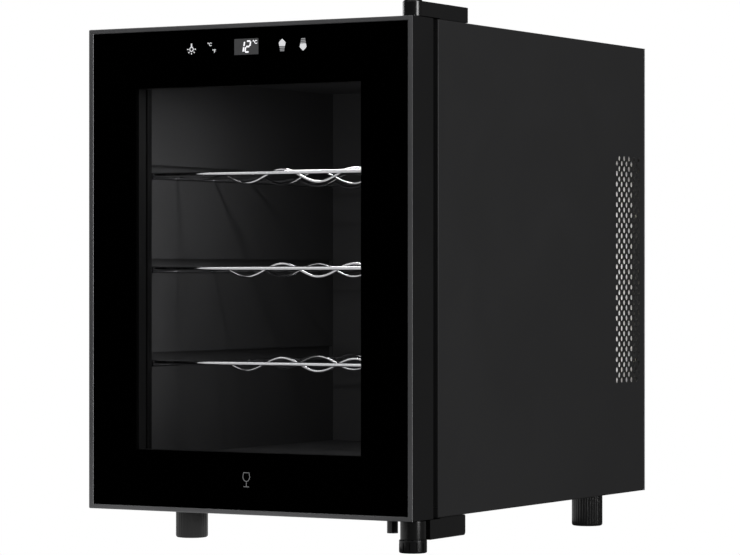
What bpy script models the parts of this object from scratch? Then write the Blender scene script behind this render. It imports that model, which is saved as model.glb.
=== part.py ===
"""A counter-top thermoelectric wine cooler with a glass door, built piece by piece.

Metres, +Z up. The cooler stands on z = 0, faces -Y, and its hinge is on the +X side. The origin is
under the middle of the cabinet's width and of the overall depth.
"""

import math

import bmesh
import bpy
from mathutils import Matrix, Vector

# ---- driving sizes ----
FIT = 0.0003  # gap between pieces that touch
WIDTH = 0.345
CABINET_HEIGHT = 0.4435
CABINET_DEPTH = 0.4307
DOOR_DEPTH = 0.0388
DOOR_GAP = 0.0083  # filled by the gasket
REAR_STANDOFF = 0.0242  # grille cover behind the cabinet
FOOT_HEIGHT = 0.0293
DOOR_DROP = 0.0008  # door below the cabinet's underside
DOOR_RISE = 0.0003  # door above the cabinet's top
SHEET = 0.0008  # steel sheet
LIP = 0.009  # front return of the sheet panels
REAR_FLANGE = 0.017

CAVITY_SIDE_WALL = 0.037
CAVITY_FLOOR = 0.0467  # cabinet underside to the liner's floor
CAVITY_CEILING = 0.0418
CAVITY_DEPTH = 0.3335
LINER_WALL = 0.0015
MOUTH_PLATE = 0.0021
BACK_FOAM = 0.019  # foam behind the liner

GLASS = 0.004
GLASS_RECESS = 0.0008
FRAME_SIDE = 0.0050  # frame seen beside the glass
FRAME_END = 0.0042  # frame seen above and below the glass
WINDOW_SIDE = 0.0528  # door edge to clear window
WINDOW_END = 0.056
PANE_MARGIN = 0.0085  # inner pane past the clear window
PANE_GAP = 0.012
STOP_DEPTH = 0.005
STOP_WIDTH = 0.007
GASKET_INSET = 0.014
GASKET_WIDTH = 0.012

PIVOT_IN = 0.0096  # hinge axis from the cabinet's right side
PIVOT_BACK = 0.018  # hinge axis behind the door's face
PIN_RADIUS = 0.003
BUSH_RADIUS = 0.005
BUSH_LENGTH = 0.0137
RUNNING = 0.0003  # radial clearance of a pin in its bore
BRACKET_PLATE = 0.003
BRACKET_BEND = 0.034  # hinge axis to the foot of the bracket's bend
BRACKET_FRONT = 0.65  # bracket ahead of the axis, as a share of its half width
BRACKET_WIDTH = 1.6  # bracket's width over that half width
PIN_HEAD = 1.5  # pin's head over the pin's radius
PIN_HEAD_HEIGHT = 0.002
PIN_TIP = 0.0015  # pin's tip short of the bush's end
COVER_HALF_WIDTH = 0.0091
COVER_LENGTH = 0.086  # hinge axis to the cover's back end
COVER_WALL = 0.0015
COVER_RISE = 0.0139  # cover's top above the door
COVER_LIFT = 0.002  # cover above the door
COVER_SKIRT = 0.003  # skirt's overlap with the cover
CAP_RADIUS = 0.008
CAP_HEIGHT = 0.0025
CAP_BEVEL = 0.0006

BARREL_RADIUS = 0.0114
RING_RADIUS = 0.0124
RING_HEIGHT = 0.0116
STUD_RADIUS = 0.004
STUD_LENGTH = 0.0075
RING_GROOVES = 12
RING_GROOVE = 0.0008
RING_RIM = 0.0025  # plain rim above the ring's grooves
RING_BEVEL = 0.0012
HOUSING_START = 0.015  # from the hinge axis back
HOUSING_LENGTH = 0.066
HOUSING_CLEAR = 0.0106  # under the housing
HOUSING_CORNER = 0.003
WEB_SETBACK = 0.001  # web below the barrel's top
HOUSING_PAD = 0.005  # from the cabinet's front to the pad under it
HINGE_SCREWS = (0.044, 0.068)  # behind the hinge axis
HINGE_SCREW_SEAT = 0.006  # bottom screws' seat below the cabinet
HINGE_SCREW_REACH = 0.012  # depth of the screws in the foam
TOP_SCREW_LENGTH = 0.014
BOTTOM_SCREW_LENGTH = 0.015
FOOT_RADIUS = 0.015
FRONT_FOOT_IN = 0.0713  # from the left side
FRONT_FOOT_BACK = 0.066  # from the door's face
REAR_FOOT_IN = 0.0155
REAR_FOOT_BACK = 0.378
FOOT_BEVEL = 0.002

RACK_COUNT = 3
RACK_LOWEST = 0.0879  # above the cavity floor
RACK_PITCH = 0.0878
BAR_RADIUS = 0.0019
WIRE_RADIUS = 0.0015
BAR_BACK = 0.0052  # front bar behind the cabinet's front
FIRST_WAVE = 0.041  # first wavy wire behind the bar
WAVE_SPACING = 0.0647
WAVE_WIRES = 5
WAVE_PITCH = 0.0785
WAVE_SHIFT = 0.0205  # a valley's place across the cabinet
WAVE_VALLEYS = 3
WAVE_HEIGHT = 0.006
WAVE_MIDDLE = -0.0016  # below the front bar
WIRE_END = -0.0025
END_RUN = 0.022
ROD_DROP = 0.0029  # side rods below the front bar
GROOVE_DEPTH = 0.004
GROOVE_ABOVE = 0.009

VENT_COLUMNS = 10
VENT_COLUMN_STEP = 0.0055
VENT_HEIGHT = 0.2244
VENT_SLOT = 0.0034
VENT_SLOT_ROWS = 4
VENT_BRIDGE = 0.0035
VENT_BACK = 0.0145  # last column's centre to the cabinet's back
REAR_SCREW_UPS = (-0.0911, 0.053)  # rear screws from the cabinet's middle height
REAR_SCREW_LENGTH = 0.007

COLD_COVER = 0.120
COLD_COVER_DEPTH = 0.0247
COLD_COVER_WALL = 0.0015
COLD_COVER_SLOTS = 9
COLD_COVER_SLOT = 0.004
COLD_SINK = 0.080
COLD_BASE = 0.0037
COLD_FINS = 0.0065
BLOCK = 0.040
COLD_FAN = 0.080
COLD_FAN_DEPTH = 0.010
MODULE_DEPTH = 0.004
HOT_SINK = 0.140
HOT_BASE = 0.005
HOT_FINS = 0.034
FIN = 0.0015
HOT_FIN_COUNT = 15
COLD_FIN_COUNT = 13
HOT_FAN = 0.120
HOT_FAN_DEPTH = 0.025
FAN_RIM = 0.003
FAN_BLADES = 7
FAN_BOSS = 0.17  # motor boss's radius over the fan's size
FAN_ARM = 0.03  # spider arm's width over the fan's size
FAN_PLATE = 0.12  # spider's depth over the fan's depth
FAN_TIP = 0.01  # blade tip's clearance over the fan's size
BLADE_TILT = 50  # degrees
HOT_FAN_SPACE = 0.005  # between the fan and the back
GRILLE = 0.170
GRILLE_WALL = 0.002
GRILLE_SLOTS = 12
GRILLE_END = 0.010  # above and below the row of slots
GRILLE_EDGE = 0.015  # beside the slots
SUPPLY_SIZE = (0.160, 0.050, 0.065)
SUPPLY_FLOOR = 0.015
SUPPLY_BACK = 0.004  # between the box and the back
SUPPLY_EDGE = 0.002
GLAND_X = -0.110
GLAND_Z = 0.070
GLAND_BORE = 0.004
GLAND_RADIUS = 0.0065
GLAND_FLANGE = 0.010
GLAND_IN = 0.008  # gland inside the back
GLAND_OUT = 0.005
SPOUT_IN = 0.077  # from the right side
SPOUT_BACK = 0.100  # from the door's face
SPOUT_RADIUS = 0.0051
SPOUT_BORE = 0.0032
SPOUT_CLEAR = 0.0091  # under the spout
SCREW_SHANK = 0.002
SCREW_HEAD = 0.0036
SCREW_HEAD_HEIGHT = 0.0022
LAMP_SIZE = (0.090, 0.022, 0.005)
LAMP_BACK = 0.036  # lamp's middle behind the liner's front
LAMP_WALL = 0.003
CONTROL_SIZE = (0.160, 0.012, 0.023)
CONTROL_DOWN = 0.0215  # control centre line below the door's top
DISPLAY_SIZE = (0.030, 0.0032, 0.017)
BOARD_EDGE = 0.005  # board short of its pocket
BOARD_THICKNESS = 0.0016
PAST = 0.01  # how far a cutting tool reaches past a piece

# ---- places worked out from them ----
DEPTH = DOOR_DEPTH + DOOR_GAP + CABINET_DEPTH + REAR_STANDOFF
SIDE = WIDTH / 2
FRONT = -DEPTH / 2
DOOR_BACK = FRONT + DOOR_DEPTH
CAB_FRONT = DOOR_BACK + DOOR_GAP
CAB_BACK = CAB_FRONT + CABINET_DEPTH
BOTTOM = FOOT_HEIGHT
TOP = BOTTOM + CABINET_HEIGHT
MIDDLE = (BOTTOM + TOP) / 2
DOOR_BOTTOM = BOTTOM - DOOR_DROP
DOOR_TOP = TOP + DOOR_RISE
PANEL_BACK = CAB_BACK - SHEET - FIT  # back edge of the side, top and bottom panels

CAVITY_X = SIDE - CAVITY_SIDE_WALL
CAVITY_Z0 = BOTTOM + CAVITY_FLOOR
CAVITY_Z1 = TOP - CAVITY_CEILING
LINER_FRONT = CAB_FRONT + MOUTH_PLATE + FIT
CAVITY_BACK = LINER_FRONT + CAVITY_DEPTH
LINER_BACK = CAVITY_BACK + LINER_WALL
FOAM_BACK = LINER_BACK + FIT + BACK_FOAM

WINDOW_X = SIDE - WINDOW_SIDE
WINDOW_Z0 = DOOR_BOTTOM + WINDOW_END
WINDOW_Z1 = DOOR_TOP - WINDOW_END
OPENING_X = WINDOW_X + PANE_MARGIN
OPENING_Z0 = WINDOW_Z0 - PANE_MARGIN
OPENING_Z1 = WINDOW_Z1 + PANE_MARGIN
GLASS_BACK = FRONT + GLASS_RECESS + GLASS
PANE_FRONT = GLASS_BACK + PANE_GAP
PANE_BACK = PANE_FRONT + GLASS

PIVOT_X = SIDE - PIVOT_IN
PIVOT_Y = FRONT + PIVOT_BACK
RACK_HEIGHTS = [CAVITY_Z0 + RACK_LOWEST + i * RACK_PITCH for i in range(RACK_COUNT)]
BAR_Y = CAB_FRONT + BAR_BACK
WAVE_YS = [BAR_Y + FIRST_WAVE + i * WAVE_SPACING for i in range(WAVE_WIRES)]
ROD_X = CAVITY_X + WIRE_RADIUS
GROOVE_FLOOR = -ROD_DROP - WIRE_RADIUS - FIT

COLD_SINK_BACK = CAVITY_BACK - FIT
MODULE_FRONT = FOAM_BACK - MODULE_DEPTH + FIT
HOT_SINK_FRONT = MODULE_FRONT + MODULE_DEPTH + FIT
HOT_FAN_BACK = CAB_BACK - SHEET - HOT_FAN_SPACE
HOT_FAN_FRONT = HOT_FAN_BACK - HOT_FAN_DEPTH
BRACKET_FOOT_Z = TOP + FIT
COVER_Z1 = DOOR_TOP + COVER_RISE
COVER_Z0 = DOOR_TOP + COVER_LIFT
ARM_Z = COVER_Z0 + FIT
SCREW_YS = [PIVOT_Y + back for back in HINGE_SCREWS]
REAR_SCREWS = [(s * (SIDE - REAR_FLANGE / 2), MIDDLE + up) for s in (-1, 1) for up in REAR_SCREW_UPS]
SPOUT_X = SIDE - SPOUT_IN
SPOUT_Y = FRONT + SPOUT_BACK

AXES = {
    "X": Matrix.Rotation(math.pi / 2, 4, "Y"),
    "Y": Matrix.Rotation(-math.pi / 2, 4, "X"),
    "Z": Matrix.Identity(4),
}


# ---- shared tools ----
def clear_scene():
    """Remove what the start-up file holds."""
    for obj in list(bpy.data.objects):
        bpy.data.objects.remove(obj, do_unlink=True)


def finish(name, colour, roughness, metallic=0.0):
    """A plain material of one piece or one kind of piece."""
    mat = bpy.data.materials.get(name) or bpy.data.materials.new(name)
    mat.use_nodes = True
    shader = mat.node_tree.nodes["Principled BSDF"]
    shader.inputs["Base Color"].default_value = (*colour, 1.0)
    shader.inputs["Roughness"].default_value = roughness
    shader.inputs["Metallic"].default_value = metallic
    mat.diffuse_color = (*colour, 1.0)
    return mat


def box(bm, x, y, z):
    """Add a box between the limits given for each axis."""
    size = [hi - lo for lo, hi in (x, y, z)]
    centre = [(lo + hi) / 2 for lo, hi in (x, y, z)]
    place = Matrix.Translation(centre) @ Matrix.Diagonal((*size, 1.0))
    bmesh.ops.create_cube(bm, size=1.0, matrix=place)


def around(centre, size):
    """Limits of a span of this size about a centre."""
    return (centre - size / 2, centre + size / 2)


def rod(bm, centre, radius, axis, span, sides=16):
    """Add a round bar along an axis; span is its reach along that axis."""
    middle = Vector(centre)
    middle["XYZ".index(axis)] = sum(span) / 2
    place = Matrix.Translation(middle) @ AXES[axis]
    bmesh.ops.create_cone(
        bm,
        cap_ends=True,
        segments=sides,
        radius1=radius,
        radius2=radius,
        depth=span[1] - span[0],
        matrix=place,
    )


def turned(bm, profile, x, y, sides=16):
    """Turn a closed outline of (radius, z) points about an upright axis."""
    rings = []
    for i in range(sides):
        turn = 2 * math.pi * i / sides
        ring = [
            bm.verts.new((x + r * math.cos(turn), y + r * math.sin(turn), z))
            for r, z in profile
        ]
        rings.append(ring)
    count = len(profile)
    for i in range(sides):
        here, there = rings[i], rings[(i + 1) % sides]
        for j in range(count):
            k = (j + 1) % count
            bm.faces.new((here[j], there[j], there[k], here[k]))
    bmesh.ops.remove_doubles(bm, verts=bm.verts[:], dist=1e-6)


def prism(bm, outline, axis, span):
    """Extrude an outline along an axis; its points are the other two axes in X, Y, Z order."""
    index = "XYZ".index(axis)
    verts = []
    for u, v in outline:
        point = [u, v]
        point.insert(index, span[0])
        verts.append(bm.verts.new(point))
    face = bm.faces.new(verts)
    made = bmesh.ops.extrude_face_region(bm, geom=[face])["geom"]
    shift = Vector((0, 0, 0))
    shift[index] = span[1] - span[0]
    moved = [g for g in made if isinstance(g, bmesh.types.BMVert)]
    bmesh.ops.translate(bm, verts=moved, vec=shift)


def ring(bm, outer, inner, y):
    """Add an upright rectangular ring; outer and inner are (x0, x1, z0, z1)."""
    loops = []
    for x0, x1, z0, z1 in (outer, inner):
        for depth in y:
            corners = ((x0, z0), (x1, z0), (x1, z1), (x0, z1))
            loops.append([bm.verts.new((cx, depth, cz)) for cx, cz in corners])
    outer_front, outer_back, inner_front, inner_back = loops
    pairs = (
        (outer_front, outer_back),
        (outer_back, inner_back),
        (inner_back, inner_front),
        (inner_front, outer_front),
    )
    for near, far in pairs:
        for i in range(4):
            j = (i + 1) % 4
            bm.faces.new((near[i], near[j], far[j], far[i]))


def sweep(bm, points, radius, sides):
    """Add a wire along points that lie in one plane across Y or along it."""
    rings = []
    for i, point in enumerate(points):
        before = points[max(i - 1, 0)]
        after = points[min(i + 1, len(points) - 1)]
        along = (after - before).normalized()
        side = along.cross(Vector((0, 1, 0)))
        if side.length < 0.5:
            side = Vector((1, 0, 0))
        side.normalize()
        other = along.cross(side).normalized()
        loop = []
        for k in range(sides):
            turn = 2 * math.pi * k / sides
            offset = radius * (math.cos(turn) * side + math.sin(turn) * other)
            loop.append(bm.verts.new(point + offset))
        rings.append(loop)
    for here, there in zip(rings, rings[1:]):
        for k in range(sides):
            m = (k + 1) % sides
            bm.faces.new((here[k], here[m], there[m], there[k]))
    bm.faces.new(rings[0])
    bm.faces.new(rings[-1])


def arc(cu, cv, radius, start, end, steps):
    """Points of an arc, with its angles in degrees."""
    turns = [math.radians(start + (end - start) * i / steps) for i in range(steps + 1)]
    return [(cu + radius * math.cos(t), cv + radius * math.sin(t)) for t in turns]


def settle(name, bm, mat, parent=None, round_piece=False):
    """Make the object of a finished mesh, with its origin at its middle."""
    bmesh.ops.recalc_face_normals(bm, faces=bm.faces[:])
    low = Vector([min(v.co[i] for v in bm.verts) for i in range(3)])
    high = Vector([max(v.co[i] for v in bm.verts) for i in range(3)])
    centre = (low + high) / 2
    bmesh.ops.translate(bm, verts=bm.verts[:], vec=-centre)
    mesh = bpy.data.meshes.new(name)
    bm.to_mesh(mesh)
    bm.free()
    if round_piece:
        mesh.shade_smooth()
        mesh.set_sharp_from_angle(angle=math.radians(35))
    mesh.materials.append(mat)
    obj = bpy.data.objects.new(name, mesh)
    obj.location = centre
    bpy.context.scene.collection.objects.link(obj)
    if parent is not None:
        obj.parent = parent
        obj.matrix_parent_inverse = Matrix.Translation(-parent.location)
    return obj


def boolean(target, bm, operation):
    """Cut a mesh from an object, or join it on; the tool stays as a hidden guide."""
    tool_mat = target.data.materials[0]
    tool = settle(f"{target.name}_{operation.lower()}", bm, tool_mat, target.parent)
    tool.hide_render = True
    tool.display_type = "WIRE"
    change = target.modifiers.new(operation.title(), "BOOLEAN")
    change.operation = operation
    change.solver = "EXACT"
    change.object = tool


def cut(target, bm):
    """Cut a mesh away from an object."""
    boolean(target, bm, "DIFFERENCE")


def join(target, bm):
    """Join a mesh on to an object."""
    boolean(target, bm, "UNION")


def axis_empty(name, place):
    """An empty on a joint's axis, which the moving pieces are parented to."""
    empty = bpy.data.objects.new(name, None)
    empty.location = place
    bpy.context.scene.collection.objects.link(empty)
    return empty


# ---- cabinet shell ----
def vent_cutter(side):
    """Columns of slots through one side panel, which stand for its staggered round holes."""
    bm = bmesh.new()
    inside = (SIDE - 2 * SHEET, SIDE + SHEET)
    span = inside if side > 0 else (-inside[1], -inside[0])
    first_y = CAB_BACK - VENT_BACK - (VENT_COLUMNS - 1) * VENT_COLUMN_STEP
    tall = VENT_HEIGHT / VENT_SLOT_ROWS
    for column in range(VENT_COLUMNS):
        y = first_y + column * VENT_COLUMN_STEP
        for row in range(VENT_SLOT_ROWS):
            z = MIDDLE + (row - (VENT_SLOT_ROWS - 1) / 2) * tall
            box(bm, span, around(y, VENT_SLOT), around(z, tall - VENT_BRIDGE))
    return bm


def make_side_panel(name, side, mat):
    """A folded steel side: a plate with a front lip and a rear flange, notched at their ends."""
    outer = side * SIDE
    inner = outer - side * SHEET
    lip = outer - side * LIP
    flange = outer - side * REAR_FLANGE
    outline = [
        (outer, CAB_FRONT),
        (outer, PANEL_BACK),
        (flange, PANEL_BACK),
        (flange, PANEL_BACK - SHEET),
        (inner, PANEL_BACK - SHEET),
        (inner, CAB_FRONT + SHEET),
        (lip, CAB_FRONT + SHEET),
        (lip, CAB_FRONT),
    ]
    bm = bmesh.new()
    prism(bm, outline, "Z", (BOTTOM, TOP))
    panel = settle(name, bm, mat)
    notches = bmesh.new()
    past = (inner - side * FIT, flange - side * SHEET)
    for end, sign in ((BOTTOM, 1), (TOP, -1)):
        lip_z = sorted((end - sign * SHEET, end + sign * (LIP + FIT)))
        box(notches, sorted(past), (CAB_FRONT - SHEET, CAB_FRONT + 2 * SHEET), lip_z)
        flange_z = sorted((end - sign * SHEET, end + sign * (SHEET + 2 * FIT)))
        box(notches, sorted(past), (PANEL_BACK - 2 * SHEET, PANEL_BACK + SHEET), flange_z)
    cut(panel, notches)
    cut(panel, vent_cutter(side))
    return panel


def make_top_panel(mat):
    """The steel top with its front lip, between the side panels."""
    bm = bmesh.new()
    outline = [
        (CAB_FRONT, TOP),
        (PANEL_BACK, TOP),
        (PANEL_BACK, TOP - SHEET),
        (CAB_FRONT + SHEET, TOP - SHEET),
        (CAB_FRONT + SHEET, TOP - LIP),
        (CAB_FRONT, TOP - LIP),
    ]
    reach = SIDE - SHEET - FIT
    prism(bm, outline, "X", (-reach, reach))
    panel = settle("top_panel", bm, mat)
    holes = bmesh.new()
    for y in SCREW_YS:
        rod(holes, (PIVOT_X, y, 0), SCREW_SHANK + FIT, "Z", (TOP - 2 * SHEET, TOP + SHEET), 12)
    cut(panel, holes)


def make_bottom_panel(mat):
    """The steel bottom with its front lip, holes for the hinge screws and the spout."""
    bm = bmesh.new()
    outline = [
        (CAB_FRONT, BOTTOM),
        (PANEL_BACK, BOTTOM),
        (PANEL_BACK, BOTTOM + SHEET),
        (CAB_FRONT + SHEET, BOTTOM + SHEET),
        (CAB_FRONT + SHEET, BOTTOM + LIP),
        (CAB_FRONT, BOTTOM + LIP),
    ]
    reach = SIDE - SHEET - FIT
    prism(bm, outline, "X", (-reach, reach))
    panel = settle("bottom_panel", bm, mat)
    holes = bmesh.new()
    through = (BOTTOM - SHEET, BOTTOM + 2 * SHEET)
    for y in SCREW_YS:
        rod(holes, (PIVOT_X, y, 0), SCREW_SHANK + FIT, "Z", through, 12)
    rod(holes, (SPOUT_X, SPOUT_Y, 0), SPOUT_RADIUS + FIT, "Z", through, 16)
    cut(panel, holes)


def make_rear_panel(mat):
    """The zinc-plated back with the fan opening, the cord gland's hole and screw holes."""
    bm = bmesh.new()
    box(bm, (-SIDE, SIDE), (CAB_BACK - SHEET, CAB_BACK), (BOTTOM, TOP))
    panel = settle("rear_panel", bm, mat)
    holes = bmesh.new()
    through = (CAB_BACK - 2 * SHEET, CAB_BACK + SHEET)
    rod(holes, (0, 0, MIDDLE), HOT_FAN / 2 - FAN_RIM, "Y", through, 32)
    rod(holes, (GLAND_X, 0, GLAND_Z), GLAND_RADIUS + FIT, "Y", through, 16)
    for x, z in REAR_SCREWS:
        rod(holes, (x, 0, z), SCREW_SHANK + FIT, "Y", through, 10)
    cut(panel, holes)


def make_mouth_frame(mat):
    """The plastic frame that closes the wall between the liner and the front lips."""
    bm = bmesh.new()
    clear = LIP + FIT
    outer = (-SIDE + clear, SIDE - clear, BOTTOM + clear, TOP - clear)
    inner = (-CAVITY_X, CAVITY_X, CAVITY_Z0, CAVITY_Z1)
    ring(bm, outer, inner, (CAB_FRONT, CAB_FRONT + MOUTH_PLATE))
    settle("mouth_frame", bm, mat)


def groove_boxes(bm, side_reach, up, down, y):
    """One box for each rack groove, on both sides."""
    for height in RACK_HEIGHTS:
        z = (height + GROOVE_FLOOR - down, height + GROOVE_ABOVE + up)
        inner = CAVITY_X - LINER_WALL / 2
        box(bm, (inner, side_reach), y, z)
        box(bm, (-side_reach, -inner), y, z)


def make_liner(mat):
    """The moulded inner box with grooves for the racks, open at the front."""
    bm = bmesh.new()
    wall = LINER_WALL
    x = (-CAVITY_X - wall, CAVITY_X + wall)
    box(bm, x, (LINER_FRONT, LINER_BACK), (CAVITY_Z0 - wall, CAVITY_Z1 + wall))
    liner = settle("inner_liner", bm, mat)
    channels = bmesh.new()
    reach = CAVITY_X + GROOVE_DEPTH
    groove_boxes(channels, reach + wall, wall, wall, (LINER_FRONT + FIT, CAVITY_BACK))
    join(liner, channels)
    hollow = bmesh.new()
    open_y = (LINER_FRONT - wall, CAVITY_BACK)
    box(hollow, (-CAVITY_X, CAVITY_X), open_y, (CAVITY_Z0, CAVITY_Z1))
    cut(liner, hollow)
    grooves = bmesh.new()
    groove_boxes(grooves, reach, 0, 0, (LINER_FRONT - 2 * wall, CAVITY_BACK - wall))
    cut(liner, grooves)
    holes = bmesh.new()
    half = BLOCK / 2 + FIT
    box(holes, (-half, half), (CAVITY_BACK - wall, LINER_BACK + wall), (MIDDLE - half, MIDDLE + half))
    rod(holes, (SPOUT_X, SPOUT_Y, 0), SPOUT_BORE, "Z", (CAVITY_Z0 - 2 * wall, CAVITY_Z0 + wall), 16)
    cut(liner, holes)


def make_foam(mat):
    """The insulation between the liner and the steel panels."""
    bm = bmesh.new()
    clear = SHEET + FIT
    front = LINER_FRONT
    box(bm, (-SIDE + clear, SIDE - clear), (front, FOAM_BACK), (BOTTOM + clear, TOP - clear))
    foam = settle("insulation_foam", bm, mat)
    hollow = bmesh.new()
    wall = LINER_WALL + FIT
    x = (-CAVITY_X - wall, CAVITY_X + wall)
    box(hollow, x, (front - wall, LINER_BACK + FIT), (CAVITY_Z0 - wall, CAVITY_Z1 + wall))
    cut(foam, hollow)
    channels = bmesh.new()
    reach = CAVITY_X + GROOVE_DEPTH + wall
    groove_boxes(channels, reach, wall, wall, (front - 2 * wall, CAVITY_BACK + FIT))
    cut(foam, channels)
    holes = bmesh.new()
    half = BLOCK / 2 + FIT
    box(holes, (-half, half), (LINER_BACK - wall, FOAM_BACK + wall), (MIDDLE - half, MIDDLE + half))
    rod(holes, (SPOUT_X, SPOUT_Y, 0), SPOUT_RADIUS + FIT, "Z", (BOTTOM, CAVITY_Z0 - wall / 2), 16)
    for y in SCREW_YS:
        for reach in ((TOP - HINGE_SCREW_REACH, TOP), (BOTTOM, BOTTOM + HINGE_SCREW_REACH)):
            rod(holes, (PIVOT_X, y, 0), SCREW_SHANK + FIT, "Z", reach, 12)
    cut(foam, holes)


# ---- racks and light ----
def wave_height(x):
    """Height of a wavy wire above the front bar's centre line."""
    first = WAVE_SHIFT - WAVE_PITCH
    last = WAVE_SHIFT + (WAVE_VALLEYS - 2) * WAVE_PITCH
    low, high = first - WAVE_PITCH / 4, last + WAVE_PITCH / 4
    if low <= x <= high:
        turn = 2 * math.pi * (x - WAVE_SHIFT) / WAVE_PITCH
        return WAVE_MIDDLE - WAVE_HEIGHT * math.cos(turn)
    beyond = min(max(low - x, x - high) / END_RUN, 1.0)
    rise = WAVE_MIDDLE - WIRE_END + 0.4 * WAVE_HEIGHT * math.sin(math.pi * beyond)
    return WIRE_END + rise * (1 - beyond)


def make_rack(name, height, mat):
    """A welded rack: a straight front bar, two side rods and wavy wires that cradle bottles."""
    reach = CAVITY_X + GROOVE_DEPTH - 2 * FIT
    back = WAVE_YS[-1] + WIRE_RADIUS / 2
    bm = bmesh.new()
    rod(bm, (0, BAR_Y, height), BAR_RADIUS, "X", (-reach, reach), 8)
    rack = settle(name, bm, mat, round_piece=True)
    rods = bmesh.new()
    for side in (-1, 1):
        place = (side * ROD_X, 0, height - ROD_DROP)
        rod(rods, place, WIRE_RADIUS, "Y", (BAR_Y - BAR_RADIUS / 2, back), 6)
    join(rack, rods)
    waves = bmesh.new()
    steps = 24
    for y in WAVE_YS:
        xs = [-ROD_X + 2 * ROD_X * i / steps for i in range(steps + 1)]
        points = [Vector((x, y, height + wave_height(x))) for x in xs]
        sweep(waves, points, WIRE_RADIUS, 5)
    join(rack, waves)


def make_lamp(board_mat, lens_mat):
    """The light strip under the ceiling and the lens tray that holds it."""
    long, deep, tall = LAMP_SIZE
    ceiling = CAVITY_Z1 - FIT
    y = LINER_FRONT + LAMP_BACK
    bm = bmesh.new()
    box(bm, around(0, long), around(y, deep), (ceiling - tall, ceiling))
    lens = settle("light_lens", bm, lens_mat)
    pocket = bmesh.new()
    wall = LAMP_WALL
    box(pocket, around(0, long - wall), around(y, deep - 2 * wall), (ceiling - tall + wall / 2, TOP))
    cut(lens, pocket)
    board = bmesh.new()
    board_z = ceiling - tall + wall
    box(board, around(0, long - 2 * wall), around(y, deep - 3 * wall), (board_z, board_z + wall / 2))
    settle("light_strip", board, board_mat)


# ---- cooling unit ----
def comb(width, base_y, fin_y, count):
    """Outline of a finned plate seen from above: base at base_y, fins reaching past base_y[1]."""
    half = width / 2
    step = (width - FIN) / (count - 1)
    points = [(half, base_y[0]), (-half, base_y[0])]
    for i in range(count):
        x = -half + i * step
        if i:
            points.append((x, base_y[1]))
        points += [(x, fin_y), (x + FIN, fin_y)]
        if i < count - 1:
            points.append((x + FIN, base_y[1]))
    return points


def make_sinks(mat):
    """The cold and hot finned blocks, back to back on the thermoelectric module."""
    cold = bmesh.new()
    base = COLD_SINK_BACK - COLD_BASE
    outline = comb(COLD_SINK, (COLD_SINK_BACK, base), base - COLD_FINS, COLD_FIN_COUNT)
    prism(cold, outline, "Z", around(MIDDLE, COLD_SINK))
    sink = settle("cold_heat_sink", cold, mat)
    block = bmesh.new()
    block_y = (COLD_SINK_BACK - COLD_BASE / 2, MODULE_FRONT - FIT)
    box(block, around(0, BLOCK), block_y, around(MIDDLE, BLOCK))
    join(sink, block)
    hot = bmesh.new()
    base = HOT_SINK_FRONT + HOT_BASE
    outline = comb(HOT_SINK, (HOT_SINK_FRONT, base), base + HOT_FINS, HOT_FIN_COUNT)
    prism(hot, outline, "Z", around(MIDDLE, HOT_SINK))
    settle("hot_heat_sink", hot, mat)


def make_module(mat):
    """The thermoelectric module between the two blocks."""
    bm = bmesh.new()
    box(bm, around(0, BLOCK), (MODULE_FRONT, MODULE_FRONT + MODULE_DEPTH), around(MIDDLE, BLOCK))
    settle("thermoelectric_module", bm, mat)


def make_fan(name, size, front, depth, spider_at_back, frame_mat, rotor_mat):
    """A square fan: its frame with a motor spider, and its bladed rotor on the axis."""
    hole = size / 2 - FAN_RIM
    back = front + depth
    plate = depth * FAN_PLATE
    boss = size * FAN_BOSS
    bm = bmesh.new()
    box(bm, around(0, size), (front, back), around(MIDDLE, size))
    frame = settle(f"{name}_frame", bm, frame_mat)
    bore = bmesh.new()
    rod(bore, (0, 0, MIDDLE), hole, "Y", (front - depth, back + depth), 32)
    cut(frame, bore)
    spider_y = (back - plate, back) if spider_at_back else (front, front + plate)
    inset = FIT / 2
    spider_y = (spider_y[0] + inset, spider_y[1] - inset)
    arms = bmesh.new()
    rod(arms, (0, 0, MIDDLE), boss, "Y", spider_y, 20)
    join(frame, arms)
    bars = bmesh.new()
    arm = size * FAN_ARM
    arm_y = (spider_y[0] + inset, spider_y[1] - inset)
    box(bars, around(0, 2 * hole + FAN_RIM), arm_y, around(MIDDLE, arm))
    join(frame, bars)
    posts = bmesh.new()
    post_y = (arm_y[0] + inset, arm_y[1] - inset)
    box(posts, around(0, arm), post_y, around(MIDDLE, 2 * hole + FAN_RIM))
    join(frame, posts)
    gap = plate + 2 * FIT
    rotor_y = (front + FIT, back - gap) if spider_at_back else (front + gap, back - FIT)
    axis = axis_empty(f"{name}_axis", (0, sum(rotor_y) / 2, MIDDLE))
    hub = bmesh.new()
    rod(hub, (0, 0, MIDDLE), boss, "Y", rotor_y, 20)
    rotor = settle(f"{name}_rotor", hub, rotor_mat, axis, round_piece=True)
    blades = bmesh.new()
    reach = hole - 2 * FIT - size * FAN_TIP
    chord = 0.8 * (rotor_y[1] - rotor_y[0])
    for i in range(FAN_BLADES):
        start = len(blades.verts)
        box(blades, (boss * 0.9, reach), around(0, FIN), around(0, chord))
        blades.verts.ensure_lookup_table()
        new = blades.verts[start:]
        tilt = Matrix.Rotation(math.radians(BLADE_TILT), 4, "X")
        turn = Matrix.Rotation(2 * math.pi * i / FAN_BLADES, 4, "Y")
        place = Matrix.Translation((0, sum(rotor_y) / 2, MIDDLE)) @ turn @ tilt
        bmesh.ops.transform(blades, matrix=place, verts=new)
    join(rotor, blades)


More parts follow.
